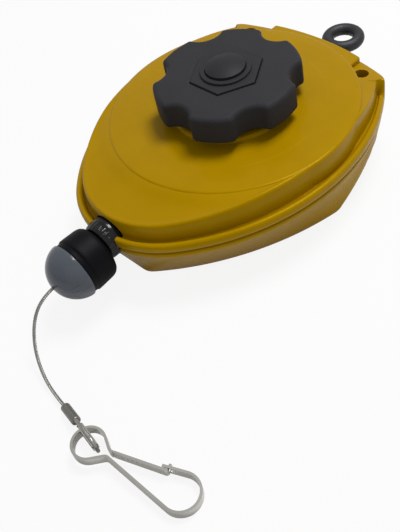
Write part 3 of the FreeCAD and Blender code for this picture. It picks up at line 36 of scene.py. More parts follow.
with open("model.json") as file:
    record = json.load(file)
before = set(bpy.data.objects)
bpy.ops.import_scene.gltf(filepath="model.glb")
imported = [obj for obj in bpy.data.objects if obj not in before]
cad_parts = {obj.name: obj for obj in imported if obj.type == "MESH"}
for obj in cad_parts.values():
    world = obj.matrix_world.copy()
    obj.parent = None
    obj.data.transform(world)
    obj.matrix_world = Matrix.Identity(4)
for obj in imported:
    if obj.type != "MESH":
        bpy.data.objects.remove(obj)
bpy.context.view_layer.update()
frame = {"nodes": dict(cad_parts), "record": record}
MM = 0.001


# Camera at the photograph's angle: degrees, then metres, then the photograph's pixels

AZIMUTH, ELEVATION, ROLL = 55.24, 48.66, -15.17
AIM, DISTANCE = Vector((50.53, -75.29, 26.0)) * MM, 0.33202
FOCAL, PHOTO_SIZE, OPTICAL_CENTRE = 780.91, (400, 532), (205.67, 268.34)
SENSOR_WIDTH = 36.0


def camera():
    azimuth, elevation, roll = math.radians(AZIMUTH), math.radians(ELEVATION), math.radians(ROLL)
    back = Vector((math.sin(azimuth) * math.cos(elevation), -math.cos(azimuth) * math.cos(elevation),
                   math.sin(elevation)))
    level = Vector((math.cos(azimuth), math.sin(azimuth), 0))
    up = back.cross(level)
    right = math.cos(roll) * level + math.sin(roll) * up
    top = -math.sin(roll) * level + math.cos(roll) * up
    wide, high = PHOTO_SIZE
    data = bpy.data.cameras.new("photo_camera")
    data.sensor_width = SENSOR_WIDTH
    data.lens = FOCAL / high * SENSOR_WIDTH
    data.shift_x = (wide / 2 - OPTICAL_CENTRE[0]) / high
    data.shift_y = (OPTICAL_CENTRE[1] - high / 2) / high
    data.clip_start = 0.01
    obj = bpy.data.objects.new("photo_camera", data)
    bpy.context.scene.collection.objects.link(obj)
    turn = Matrix((right, top, back)).transposed().to_4x4()
    obj.matrix_world = Matrix.Translation(AIM + back * DISTANCE) @ turn
    bpy.context.scene.camera = obj


# Materials

def srgb(r, g, b):
    """Scene colour from display values of 0 to 255."""
    return tuple(c / 12.92 if c <= 0.04045 else ((c + 0.055) / 1.055) ** 2.4 for c in (r / 255, g / 255, b / 255))


LOOKS = {}


BUMP_DEPTH = 0.0004


def material(name, color, rough, vary, grain, metallic=0.0, vary_scale=60.0, grain_scale=900.0,
             rough_vary=0.05, specular=0.5, tint=(1.0, 1.0, 1.0)):
    """A Principled material with slightly mottled colour and roughness, and a fine bump."""
    mat = bpy.data.materials.new(name)
    mat.use_nodes = True
    nodes, links = mat.node_tree.nodes, mat.node_tree.links
    shader = nodes["Principled BSDF"]
    shader.inputs["Metallic"].default_value = metallic
    shader.inputs["Specular IOR Level"].default_value = specular
    shader.inputs["Specular Tint"].default_value = (*tint, 1)
    place = nodes.new("ShaderNodeTexCoord")
    cloud = nodes.new("ShaderNodeTexNoise")
    cloud.inputs["Scale"].default_value = vary_scale
    cloud.inputs["Detail"].default_value = 6.0
    links.new(place.outputs["Object"], cloud.inputs["Vector"])
    ramp = nodes.new("ShaderNodeValToRGB")
    ramp.color_ramp.elements[0].position = 0.3
    ramp.color_ramp.elements[1].position = 0.7
    ramp.color_ramp.elements[0].color = (*(c * (1 - vary) for c in color), 1)
    ramp.color_ramp.elements[1].color = (*(min(1.0, c * (1 + vary)) for c in color), 1)
    links.new(cloud.outputs["Fac"], ramp.inputs["Fac"])
    links.new(ramp.outputs["Color"], shader.inputs["Base Color"])
    span = nodes.new("ShaderNodeMapRange")
    span.inputs["To Min"].default_value = max(0.02, rough - rough_vary)
    span.inputs["To Max"].default_value = min(1.0, rough + rough_vary)
    links.new(cloud.outputs["Fac"], span.inputs["Value"])
    links.new(span.outputs["Result"], shader.inputs["Roughness"])
    fine = nodes.new("ShaderNodeTexNoise")
    fine.inputs["Scale"].default_value = grain_scale
    fine.inputs["Detail"].default_value = 3.0
    links.new(place.outputs["Object"], fine.inputs["Vector"])
    bump = nodes.new("ShaderNodeBump")
    bump.inputs["Strength"].default_value = grain
    bump.inputs["Distance"].default_value = BUMP_DEPTH
    links.new(fine.outputs["Fac"], bump.inputs["Height"])
    links.new(bump.outputs["Normal"], shader.inputs["Normal"])
    LOOKS[name] = mat


MATERIALS = [
    ("yellow_enamel", (166, 128, 0), dict(rough=0.25, vary=0.035, grain=0.05, grain_scale=350, specular=0.22,
                                          tint=(1.0, 0.68, 0.03))),
    ("knob_plastic", (50, 50, 53), dict(rough=0.6, vary=0.06, grain=0.35, grain_scale=1600, specular=0.1)),
    ("hub_plastic", (46, 46, 49), dict(rough=0.55, vary=0.05, grain=0.30, grain_scale=1600, specular=0.12)),
    ("button_plastic", (40, 40, 43), dict(rough=0.5, vary=0.05, grain=0.20, grain_scale=1600, specular=0.14)),
    ("black_rubber", (9, 9, 13), dict(rough=0.5, vary=0.12, grain=0.25, grain_scale=1200, specular=0.1)),
    ("grey_plastic", (82, 87, 96), dict(rough=0.14, rough_vary=0.03, vary=0.05, grain=0.03, grain_scale=700,
                                       specular=0.4)),
    ("nozzle_plastic", (14, 14, 18), dict(rough=0.22, vary=0.08, grain=0.15, grain_scale=900, specular=0.35)),
    ("white_plastic", (205, 203, 196), dict(rough=0.5, vary=0.03, grain=0.15)),
    ("plated_steel", (205, 203, 197), dict(rough=0.15, rough_vary=0.03, metallic=1.0, vary=0.05, grain=0.03,
                                          grain_scale=260)),
    ("forged_steel", (50, 51, 54), dict(rough=0.5, metallic=0.5, vary=0.12, grain=0.5, grain_scale=600)),
    ("screw_steel", (150, 148, 142), dict(rough=0.35, metallic=1.0, vary=0.08, grain=0.2)),
    ("machined_steel", (165, 165, 168), dict(rough=0.3, metallic=1.0, vary=0.05, grain=0.2)),
    ("spring_steel", (70, 72, 84), dict(rough=0.35, metallic=1.0, vary=0.1, grain=0.2)),
    ("steel_rope", (160, 159, 154), dict(rough=0.42, metallic=0.9, vary=0.12, vary_scale=400, grain=0.3)),
    ("bronze", (170, 128, 70), dict(rough=0.4, metallic=1.0, vary=0.08, grain=0.3)),
    ("soft_aluminium", (138, 136, 130), dict(rough=0.42, metallic=0.9, vary=0.12, grain=0.3)),
    ("drum_nylon", (120, 120, 112), dict(rough=0.55, vary=0.04, grain=0.2)),
]
for slot_name, shade, finish in MATERIALS:
    material(slot_name, srgb(*shade), **finish)


def dress_nodes():
    """Every CAD node wears the look that its record slot names."""
    slots = {part["node"]: part["material_slot"] for part in frame["record"]["subparts"]}
    for name, obj in frame["nodes"].items():
        obj.data.materials.clear()
        obj.data.materials.append(LOOKS[slots[name]])


# Mesh helpers

def link(name, mesh, mat):
    obj = bpy.data.objects.new(name, mesh)
    bpy.context.scene.collection.objects.link(obj)
    obj.data.materials.append(mat)
    return obj


def mesh_from(name, points, faces, mat):
    mesh = bpy.data.meshes.new(name)
    mesh.from_pydata([tuple(p) for p in points], [], faces)
    mesh.update()
    mesh.shade_smooth()
    return link(name, mesh, mat)


def nurbs_line(name, points):
    """A smooth line with these control points, in metres."""
    data = bpy.data.curves.new(name, "CURVE")
    data.dimensions = "3D"
    data.resolution_u = 16
    spline = data.splines.new("NURBS")
    spline.points.add(len(points) - 1)
    for point, place in zip(spline.points, points):
        point.co = (*place, 1.0)
    spline.order_u = 3
    spline.use_endpoint_u = True
    obj = bpy.data.objects.new(name, data)
    bpy.context.scene.collection.objects.link(obj)
    return obj


def line_points(points):
    """Points read from the smooth line through a route."""
    obj = nurbs_line("route", points)
    bpy.context.view_layer.update()
    mesh = bpy.data.meshes.new_from_object(obj)
    path = np.array([v.co for v in mesh.vertices], float)
    bpy.data.meshes.remove(mesh)
    bpy.data.objects.remove(obj)
    return path


def even(path, step):
    """The path with points at an even spacing, and its length."""
    seg = np.linalg.norm(np.diff(path, axis=0), axis=1)
    run = np.concatenate([[0.0], np.cumsum(seg)])
    count = max(2, int(round(run[-1] / step)) + 1)
    marks = np.linspace(0, run[-1], count)
    return np.stack([np.interp(marks, run, path[:, k]) for k in range(3)], axis=1), run[-1]


def carried_frames(path):
    """A pair of side directions at each point that turn with the path and never twist."""
    tangents = np.gradient(path, axis=0)
    tangents /= np.linalg.norm(tangents, axis=1)[:, None]
    first = np.cross(tangents[0], (0.3, 0.2, 1.0))
    sides = [first / np.linalg.norm(first)]
    for tangent in tangents[1:]:
        side = sides[-1] - tangent * sides[-1].dot(tangent)
        sides.append(side / np.linalg.norm(side))
    sides = np.array(sides)
    return sides, np.cross(tangents, sides)


def rope_mesh(name, path, radius, mat, strands=6, lay=0.0075, around=6, step=0.00045, overlap=1.04):
    """Strands wound round each other along a path; overlap makes them touch."""
    path, length = even(path, step)
    sides, others = carried_frames(path)
    thin = radius / (1 + 1 / math.sin(math.pi / strands)) * overlap
    offset = radius - thin
    turn = np.linspace(0, 2 * math.pi * length / lay, len(path))
    points, faces = [], []
    for k in range(strands):
        angle = turn + 2 * math.pi * k / strands
        centre = path + offset * (np.cos(angle)[:, None] * sides + np.sin(angle)[:, None] * others)
        base = len(points)
        for i in range(len(path)):
            for j in range(around):
                a = 2 * math.pi * j / around
                points.append(centre[i] + thin * (math.cos(a) * sides[i] + math.sin(a) * others[i]))
        for i in range(len(path) - 1):
            for j in range(around):
                n = (j + 1) % around
                a, b = base + i * around, base + (i + 1) * around
                faces.append((a + j, a + n, b + n, b + j))
        faces.append(tuple(base + j for j in reversed(range(around))))
        faces.append(tuple(base + (len(path) - 1) * around + j for j in range(around)))
    return mesh_from(name, points, faces, mat)


# The free cable

CABLE_RADIUS = 0.0008
CABLE_ROUTE = [
    (0.0, -0.1220, 0.0230), (0.0, -0.1286, 0.022402), (0.0010, -0.1364, 0.016997), (0.0063, -0.1438, 0.009591),
    (0.0156, -0.1492, 0.004393), (0.0266, -0.1524, 0.001909), (0.0370, -0.1536, 0.002898),
]


def free_cable():
    path = line_points(CABLE_ROUTE)
    rope = rope_mesh("cable_strands", path, CABLE_RADIUS, LOOKS["steel_rope"])
    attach(rope, "cable_end")
    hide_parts("cable")


# Casing: plan outlines and skins built ring by ring, in millimetres.
# A plan has two side arcs, whose centres lie off the middle line and drop from the origin, a nose arc and an
# end arc.

CASING = {"arc": 104.0, "half": 66.0, "drop": 2.0, "nose": 91.0, "top": 66.0}
FOOT = {"arc": 145.0, "half": 64.1, "drop": -30.8, "nose": 86.5, "top": 63.0}
FOOT_END = 81.0
TOP_ARC = 140.0
PARTING, BEAD_TOP, CROWN_TOP = 26.0, 31.0, 41.0
DISC_RADIUS, DISC_TOP, BOSS_RADIUS, BOSS_TOP, BLOCK_TOP = 60.7, 41.4, 29.0, 43.4, 40.1
AXIS_HEIGHT, BUMPER_HEIGHT = 26.0, 23.0


def arc_points(centre, radius, first, last, shares):
    angles = first + (last - first) * shares
    return np.stack([centre[0] + radius * np.cos(angles), centre[1] + radius * np.sin(angles)], axis=1)


def heading(centre, point):
    return math.atan2(point[1] - centre[1], point[0] - centre[0])


def plan_loop(plan, inset, soft=2.5):
    """Closed outline moved inwards: nose, +X side, soft corner, eye end, and back along -X."""
    arc, drop = plan["arc"], plan["drop"]
    offset = arc - plan["half"]
    reach = plan["nose"] - drop
    nose = (arc ** 2 - offset ** 2 - reach ** 2) / (2 * (arc - reach))
    share = (arc - inset) / (arc - nose)
    tangent = np.array([offset * (share - 1), -drop - (reach - nose) * share])
    nose_centre, side_centre = (0.0, nose - plan["nose"]), (-offset, -drop)
    top_centre = (0.0, plan["top"] - TOP_ARC)
    side, top = arc - inset, TOP_ARC - inset
    rise = top_centre[1] - side_centre[1]
    span = offset ** 2 + rise ** 2
    along = (side ** 2 - top ** 2 + span) / (2 * span)
    across = math.sqrt(side ** 2 / span - along ** 2)
    corner = np.array([offset * (along - 1) - rise * across, -drop + rise * along + offset * across])
    packed = np.linspace(0, 1, 100)
    packed = 0.45 * packed + 0.55 * (1 - (1 - packed) ** 1.8)
    nose_arc = arc_points(nose_centre, nose - inset, -math.pi / 2, heading(nose_centre, tangent),
                          np.linspace(0, 1, 15))
    side_arc = arc_points(side_centre, side, heading(side_centre, tangent),
                          heading(side_centre, corner) - soft / side, packed)
    end_arc = arc_points(top_centre, top, heading(top_centre, corner) + soft / top, math.pi / 2,
                         np.linspace(0, 1, 26))
    t = np.linspace(0, 1, 8)[1:-1, None]
    bend = (1 - t) ** 2 * side_arc[-1] + 2 * t * (1 - t) * corner + t ** 2 * end_arc[0]
    half = np.concatenate([nose_arc, side_arc[1:], bend, end_arc])
    half[-1, 0] = 0.0
    return np.concatenate([half, (half * (-1, 1))[-2:0:-1]])


def ramp(u, soft=4.0):
    """Zero below, u above, with a soft bend at zero."""
    return (u + np.sqrt(u * u + soft * soft)) / 2


def smooth_step(u):
    u = np.clip(u, 0, 1)
    return u * u * (3 - 2 * u)


def soft_min(a, b, k):
    """The smaller of two values, with a soft change-over about k wide."""
    h = np.clip(0.5 + 0.5 * (b - a) / k, 0, 1)
    return b * (1 - h) + a * h - k * h * (1 - h)


EAR_FALL_FROM, EAR_FALL = 20.0, 4.5 / 46
NOSE_FALL_FROM, NOSE_FALL = -36.0, 4.0 / 55


def crown_height(y):
    """Height of the casing's front face, falling towards the nose and the ears."""
    return CROWN_TOP - EAR_FALL * ramp(y - EAR_FALL_FROM) - NOSE_FALL * ramp(NOSE_FALL_FROM - y)


def at_height(loop, height):
    return np.column_stack([loop, np.broadcast_to(height, len(loop))])


def circle_like(loop, radius):
    """A circle whose points lie in the loop's directions from the origin."""
    return loop / np.linalg.norm(loop, axis=1)[:, None] * radius


def ring_mesh(name, rings, mat, loop_back=True, sharp=40):
    """Quads between neighbouring rings; the last ring joins the first, or both ends are closed flat."""
    count = len(rings[0])
    points = np.concatenate(rings) * MM
    faces = []
    pairs = len(rings) if loop_back else len(rings) - 1
    for k in range(pairs):
        a, b = k * count, (k + 1) % len(rings) * count
        for i in range(count):
            j = (i + 1) % count
            faces.append((a + i, a + j, b + j, b + i))
    if not loop_back:
        faces.append(tuple(reversed(range(count))))
        faces.append(tuple((len(rings) - 1) * count + i for i in range(count)))
    obj = mesh_from(name, points, faces, mat)
    obj.data.set_sharp_from_angle(angle=math.radians(sharp))
    return obj


def drill(radius, low, high, centre, along_y=False, count=64):
    """A round cutter, along Z from low to high or along Y."""
    angles = np.linspace(0, 2 * math.pi, count, endpoint=False)
    a, b = radius * np.cos(angles), radius * np.sin(angles)
    rings = []
    for level in (low, high):
        if along_y:
            rings.append(np.column_stack([centre[0] - a, np.full(count, level), centre[1] + b]))
        else:
            rings.append(np.column_stack([centre[0] + a, centre[1] + b, np.full(count, level)]))
    return ring_mesh("cutter", rings, LOOKS["yellow_enamel"], loop_back=False)


def nozzle_seat():
    """Cutters for the nozzle's collar and for its narrower neck."""
    middle = (0, AXIS_HEIGHT)
    return [drill(9.9, -130, -84, middle, True), drill(8.5, -90, -76, middle, True)]


def soften(obj, width, segments, angle):
    """A bevel on the edges sharper than the angle; width in millimetres."""
    bevel = obj.modifiers.new("soft", "BEVEL")
    bevel.width, bevel.segments, bevel.limit_method = width * MM, segments, "ANGLE"
    bevel.angle_limit = math.radians(angle)
    bevel.harden_normals = True


def cut_out(obj, cutters, sharp=40):
    """The object's mesh with the cutters taken out of it; the cutters go."""
    for cutter in cutters:
        mod = obj.modifiers.new("hole", "BOOLEAN")
        mod.operation, mod.solver, mod.object = "DIFFERENCE", "EXACT", cutter
    bpy.context.view_layer.update()
    whole = bpy.data.meshes.new_from_object(obj.evaluated_get(bpy.context.evaluated_depsgraph_get()))
    obj.modifiers.clear()
    obj.data = whole
    for cutter in cutters:
        bpy.data.objects.remove(cutter)
    whole.shade_smooth()
    whole.set_sharp_from_angle(angle=math.radians(sharp))


# Rows of the front skin: inset and height along the sides, then inset and depth below the face at the eye end

FRONT_ROWS = [
    (3.0, 26.3, 3.0, None), (1.7, 26.35, 1.7, None), (0.6, 26.6, 0.6, None), (0.1, 27.1, 0.1, None),
    (0.0, 27.8, 0.0, None), (0.0, 29.2, 0.0, 5.6), (0.2, 30.2, 0.0, 4.6), (0.7, 30.85, 0.0, 3.6),
    (1.4, 31.1, 0.0, 2.6), (2.2, 31.0, 0.02, 1.8), (2.9, 30.5, 0.1, 1.1), (3.4, 29.9, 0.35, 0.6),
    (3.8, 29.5, 0.8, 0.2), (4.3, 29.35, 1.4, 0.0), (4.75, 29.6, 2.2, 0.0), (5.0, 30.5, 3.0, 0.0),
    (5.15, 33.6, 3.8, 0.0), (5.3, 36.6, 4.6, 0.0), (5.45, 39.4, 5.4, 0.0), (5.6, 40.3, 6.1, 0.0),
    (5.9, 41.0, 6.8, 0.0), (6.4, 41.35, 7.5, 0.0), (7.0, 41.35, 8.3, 0.0), (7.7, 41.08, 8.9, 0.0),
    (9.0, 41.0, 9.5, 0.0),
]


BEAD_WIDTH = 2.2
GROOVE_NARROWS_FROM, GROOVE_NARROWS_OVER, SIDE_END = 18.0, 32.0, 54.5
EAR_FROM, EAR_OVER = 51.6, 1.8
CAVITY_NOSE, CAVITY_END = -77.0, 44.0
SHAFT_HOLE, DRUM_ROOM = 8.5, 20.0


def front_rings():
    """The front skin from its foot over the bead, groove, wall and face to the shaft's hole, and back inside."""
    rings = []
    for inset, height, end_inset, depth in FRONT_ROWS:
        along = plan_loop(CASING, inset)
        narrow = plan_loop(CASING, inset if inset < BEAD_WIDTH else BEAD_WIDTH + (inset - BEAD_WIDTH) * 0.5)
        share = smooth_step((along[:, 1] - GROOVE_NARROWS_FROM) / GROOVE_NARROWS_OVER)[:, None]
        share = share * (along[:, 1] < SIDE_END)[:, None]
        along = along * (1 - share) + narrow * share
        face = crown_height(along[:, 1])
        if height > BEAD_TOP:
            height_here = BEAD_TOP + (height - BEAD_TOP) * (face - BEAD_TOP) / (CROWN_TOP - BEAD_TOP)
        else:
            height_here = height
        ring = at_height(along, height_here)
        end = plan_loop(CASING, end_inset)
        end = at_height(end, height if depth is None else crown_height(end[:, 1]) - depth)
        share = smooth_step((along[:, 1] - EAR_FROM) / EAR_OVER)[:, None]
        rings.append(ring * (1 - share) + end * share)
    edge = rings[-1][:, :2]
    inner = circle_like(edge, 50.0)
    for share in (0.12, 0.25, 0.38, 0.5, 0.62, 0.75, 0.88, 1.0):
        flat = edge * (1 - share) + inner * share
        out = np.linalg.norm(flat, axis=1)
        face = crown_height(flat[:, 1])
        lift = smooth_step(1 - (out - DISC_RADIUS + 0.5) / 8.0) * (flat[:, 1] < 0)
        rings.append(at_height(flat, face + (CROWN_TOP - face) * lift))
    for radius, height in ((DRUM_ROOM, CROWN_TOP), (SHAFT_HOLE, CROWN_TOP), (SHAFT_HOLE, 38.4), (DRUM_ROOM, 38.4)):
        rings.append(at_height(circle_like(edge, radius), height))
    for inset, drop in ((12.5, 2.7), (10.6, 4.5), (9.0, None)):
        loop = plan_loop(CASING, inset)
        loop[:, 1] = np.clip(loop[:, 1], CAVITY_NOSE, CAVITY_END)
        rings.append(at_height(loop, PARTING if drop is None else crown_height(loop[:, 1]) - drop))
    return rings


POCKET_RADIUS, POCKET_FLOOR, POCKETS = 3.5, 30.5, [(36.5, 53.5), (-36.5, 53.5)]


def front_casing():
    skin = ring_mesh("front_casing", front_rings(), LOOKS["yellow_enamel"])
    cut_out(skin, [drill(POCKET_RADIUS, POCKET_FLOOR, 50, place) for place in POCKETS] + nozzle_seat())
    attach(skin, "casing")
    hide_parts("front_shell")


def front_disc():
    """The raised round face, with a fine step halfway in and the boss under the knob."""
    angle = np.linspace(0, 2 * math.pi, 240, endpoint=False)
    circle = np.column_stack([np.cos(angle), np.sin(angle)])
    profile = [
        (62.0, 29.3), (61.5, 39.4), (61.4, 40.4), (61.1, 41.0), (60.6, 41.3), (59.9, DISC_TOP),
        (53.0, DISC_TOP), (46.6, DISC_TOP), (46.2, DISC_TOP + 0.02), (45.6, DISC_TOP + 0.12),
        (45.0, DISC_TOP + 0.14), (36.0, DISC_TOP + 0.14), (30.2, DISC_TOP + 0.14), (29.5, DISC_TOP + 0.3),
        (29.1, DISC_TOP + 0.7), (BOSS_RADIUS, DISC_TOP + 1.2), (28.75, BOSS_TOP - 0.4), (28.3, BOSS_TOP - 0.12),
        (27.6, BOSS_TOP), (18.0, BOSS_TOP), (SHAFT_HOLE, BOSS_TOP), (SHAFT_HOLE, 38.6), (40.0, 38.6),
        (57.5, 38.0), (60.0, 29.3),
    ]
    disc = ring_mesh("front_disc", [at_height(r * circle, z) for r, z in profile], LOOKS["yellow_enamel"])
    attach(disc, "casing")


BLOCK_SIDES, BLOCK_INNER, BLOCK_FOOT, BLOCK_SHORT = (-25.5, 30.0), 30.0, 34.0, 1.3


def top_block():
    """The raised block at the eye end, between the ears."""
    rim = [(x, CASING["top"] - TOP_ARC + math.sqrt(TOP_ARC ** 2 - x * x) - BLOCK_SHORT)
           for x in np.linspace(*BLOCK_SIDES, 25)]
    plan = [(x, BLOCK_INNER) for x in BLOCK_SIDES] + rim[::-1]
    points = [(x * MM, y * MM, z * MM) for z in (BLOCK_FOOT, BLOCK_TOP) for x, y in plan]
    n = len(plan)
    faces = [tuple(reversed(range(n))), tuple(range(n, 2 * n))]
    faces += [(i, (i + 1) % n, n + (i + 1) % n, n + i) for i in range(n)]
    block = mesh_from("top_block", points, faces, LOOKS["yellow_enamel"])
    soften(block, 0.9, 4, 40)
    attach(block, "casing")


BEVEL_SLOPE, BEVEL_TURN, BEVEL_REACH, BEVEL_FOOT = math.radians(46.5), math.radians(31.0), 55.6, 4.0


def bevelled(ring, inward=0.0):
    """Points beyond the bevels at the eye-end corners are moved back onto them."""
    for side in (1, -1):
        normal = np.array([side * math.cos(BEVEL_TURN), math.sin(BEVEL_TURN)])
        out = ring[:, :2] @ normal
        limit = BEVEL_REACH + (ring[:, 2] - BEVEL_FOOT) / math.tan(BEVEL_SLOPE) - inward / math.sin(BEVEL_SLOPE)
        ring[:, :2] -= (out - soft_min(out, limit, 1.4))[:, None] * normal
    return ring


def foot_loop(inset):
    """The foot's outline, its nose cut off square with soft corners."""
    loop = plan_loop(FOOT, inset)
    loop[:, 1] = -soft_min(-loop[:, 1], FOOT_END - inset, 2.0)
    return loop


REAR_FLOOR = 2.7


def rear_rings():
    """The rear skin from the middle of its foot up to the parting line, and back down inside."""
    rings = []
    foot = foot_loop(6.0)
    for radius in (12.0, 30.0, 44.0):
        rings.append(at_height(circle_like(foot, radius), 0.0))
    for inset, height in ((6.0, 0.0), (3.2, 0.0), (1.9, 0.12), (1.0, 0.5), (0.4, 1.1), (0.0, 2.0)):
        rings.append(bevelled(at_height(foot_loop(inset), height)))
    low, high = foot_loop(0.0), plan_loop(CASING, 2.6)
    for height in (3.5, 5.0, 7.0, 9.0, 11.0, 13.0, 15.0, 17.0, 19.0, 20.5, 21.5):
        share = (height - 2.0) / 20.0
        rings.append(bevelled(at_height(low * (1 - share) + high * share, height)))
    for inset, height in ((2.45, 21.85), (1.75, 22.0), (1.15, 22.3), (0.87, 22.9), (0.8, 23.5), (0.8, 24.3),
                          (0.95, 24.85), (1.4, 25.2), (2.2, 25.4), (3.2, 25.45), (5.2, 25.45)):
        rings.append(at_height(plan_loop(CASING, inset), height))
    low, high = foot_loop(2.8), plan_loop(CASING, 5.4)
    for height in (23.0, 16.0, 9.0, 4.5, REAR_FLOOR):
        share = (height - 2.0) / 21.0
        ring = bevelled(at_height(low * (1 - share) + high * share, height), 2.6)
        ring[:, 1] = np.clip(ring[:, 1], CAVITY_NOSE, CAVITY_END)
        rings.append(ring)
    for radius in (30.0, 12.0):
        rings.append(at_height(circle_like(foot, radius), REAR_FLOOR))
    return rings


SINK_RADIUS, SINK_DEPTH, SINKS = 3.1, 18, [(19, -68), (-19, -68)]


def rear_casing():
    skin = ring_mesh("rear_casing", rear_rings(), LOOKS["yellow_enamel"], loop_back=False)
    cut_out(skin, nozzle_seat() + [drill(SINK_RADIUS, -5, SINK_DEPTH, place) for place in SINKS])
    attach(skin, "casing")
    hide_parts("rear_shell")


# Knob: six lobes joined by scallops through tangent fillets

KNOB_RADIUS, SCALLOP_RADIUS, SCALLOP_CENTRE, LOBE_ROUND = 35.3, 9.6, 39.5, 2.6
KNOB_FOOT, KNOB_RIM, KNOB_SEAT, KNOB_TOP, TOP_ROUND = 47.5, 46.4, 56.5, 60.0, 2.4
HUB_BORE, FOOT_RING, HOLLOW = 11.05, 14.5, 24.5


def knob_loop(shift):
    """The lobed outline moved inwards by shift."""
    core = KNOB_RADIUS - LOBE_ROUND
    reach = SCALLOP_RADIUS + LOBE_ROUND
    swing = math.acos((core ** 2 + SCALLOP_CENTRE ** 2 - reach ** 2) / (2 * core * SCALLOP_CENTRE))
    points = []
    for i in range(6):
        middle = math.radians(30 + 60 * i)
        centre = SCALLOP_CENTRE * np.array([math.cos(middle), math.sin(middle)])
        for side in (-1, 1):
            lobe = core * np.array([math.cos(middle + side * swing), math.sin(middle + side * swing)])
            inward = math.atan2(*(lobe - centre)[::-1])
            outward = math.atan2(lobe[1], lobe[0])
            back = math.atan2(*(centre - lobe)[::-1])
            bend = (back - outward + math.pi) % (2 * math.pi) - math.pi
            fillet = arc_points(lobe, LOBE_ROUND - shift, outward, outward + bend, np.linspace(0, 1, 10))
            rest = (middle + math.pi - inward + math.pi) % (2 * math.pi) - math.pi
            bite = arc_points(centre, SCALLOP_RADIUS + shift, inward, inward + rest, np.linspace(0, 1, 12))
            if side < 0:
                points += [fillet[:-1], bite[:-1]]
            else:
                points += [bite[::-1], fillet[::-1][1:]]
        start = middle + swing
        rim = arc_points((0, 0), KNOB_RADIUS - shift, start, start + math.pi / 3 - 2 * swing,
                         np.linspace(0, 1, 13))
        points.append(rim[1:-1])
    return np.concatenate(points)


def hexagon_like(loop, radius):
    """A hexagon with corners on the X axis, its points in the loop's directions."""
    angle = np.arctan2(loop[:, 1], loop[:, 0])
    fold = np.mod(angle, math.pi / 3) - math.pi / 6
    reach = radius * math.cos(math.pi / 6) / np.cos(fold)
    return np.column_stack([reach * np.cos(angle), reach * np.sin(angle)])


def knob():
    """The hollow knob: up the outside, over the rounded top, and down into the hub's hexagonal seat."""
    outer = knob_loop(0.0)
    rings = [at_height(circle_like(outer, r), z) for r, z in
             ((HUB_BORE, KNOB_FOOT), (FOOT_RING, KNOB_FOOT), (FOOT_RING, KNOB_SEAT - 0.6),
              (HOLLOW, KNOB_SEAT - 0.6), (HOLLOW, KNOB_RIM))]
    rings += [at_height(knob_loop(shift), KNOB_RIM + rise) for shift, rise in
              ((1.6, 0.0), (1.1, 0.05), (0.5, 0.35), (0.12, 0.9), (0.0, 1.6))]
    rings += [at_height(outer, z) for z in (50.5, 53.5, 56.8)]
    for angle in np.radians([15, 30, 45, 60, 75, 90]):
        rings.append(at_height(knob_loop(TOP_ROUND * (1 - math.cos(angle))),
                               KNOB_TOP - TOP_ROUND + TOP_ROUND * math.sin(angle)))
    rings.append(at_height(circle_like(outer, 24.0), KNOB_TOP))
    rings += [at_height(hexagon_like(outer, r), z) for r, z in
              ((19.4, KNOB_TOP), (18.35, KNOB_TOP), (18.15, KNOB_TOP - 0.2), (18.1, KNOB_TOP - 0.5),
               (18.1, KNOB_SEAT))]
    rings.append(at_height(circle_like(outer, HUB_BORE), KNOB_SEAT))
    obj = ring_mesh("lobed_knob", rings, LOOKS["knob_plastic"], sharp=50)
    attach(obj, "knob")
    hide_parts("tension_knob")


# Pieces turned about the cable's line

def turned_rings(profile, height, count=144, wave=None):
    """Rings about an axis along Y; profile is (radius, reach towards -Y, share of the wave)."""
    angle = np.linspace(0, 2 * math.pi, count, endpoint=False)
    rings = []
    for radius, reach, *share in profile:
        r = radius + (share[0] * wave(angle) if wave and share else 0.0)
        rings.append(np.column_stack([-r * np.cos(angle), np.full(count, -reach), height + r * np.sin(angle)]))
    return rings


RIB_COUNT, RIB_DEPTH = 24, 0.25


def ribs(angle):
    """Hollows between the collar's fine grip ribs."""
    return -RIB_DEPTH * smooth_step(0.5 + 1.1 * np.cos(RIB_COUNT * angle))


def nozzle():
    profile = [
        (5.0, 94.0), (7.2, 94.0), (8.1, 93.9), (8.7, 93.5), (9.1, 92.8, 0.4), (9.35, 91.8, 1.0),
        (9.4, 90.4, 1.0), (9.4, 89.2, 0.6), (9.4, 89.0, 0.0), (9.6, 88.6), (9.6, 86.4), (9.4, 86.1),
        (9.4, 84.1), (8.5, 84.1), (8.5, 78.0), (10.0, 78.0), (10.0, 76.0), (5.0, 76.0),
    ]
    rings = turned_rings(profile, AXIS_HEIGHT, 216, ribs)
    obj = ring_mesh("nozzle_collar", rings[::-1], LOOKS["nozzle_plastic"], sharp=35)
    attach(obj, "casing")
    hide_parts("outlet_nozzle")


def bumper():
    profile = [
        (4.6, 94.3), (9.9, 94.3), (11.2, 94.5), (12.2, 95.0), (12.9, 95.8), (13.3, 96.9), (13.5, 98.2),
        (13.62, 101.0), (13.8, 104.6), (13.8, 106.0), (13.66, 106.35), (13.35, 106.5), (13.22, 106.8),
        (13.2, 108.0), (13.2, 109.1), (13.05, 109.4), (12.7, 109.5), (9.05, 109.5), (9.05, 103.3), (3.0, 103.3),
        (3.0, 99.3),
    ]
    obj = ring_mesh("bumper_sleeve", turned_rings(profile, BUMPER_HEIGHT)[::-1], LOOKS["black_rubber"], sharp=45)
    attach(obj, "cable_end")
    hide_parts("rubber_bumper")


# Suspension eye: radius of the ring's middle line, radius of its bar, and its far edge

EYE_RING, EYE_BAR, EYE_FAR = 8.2, 3.15, 97.5


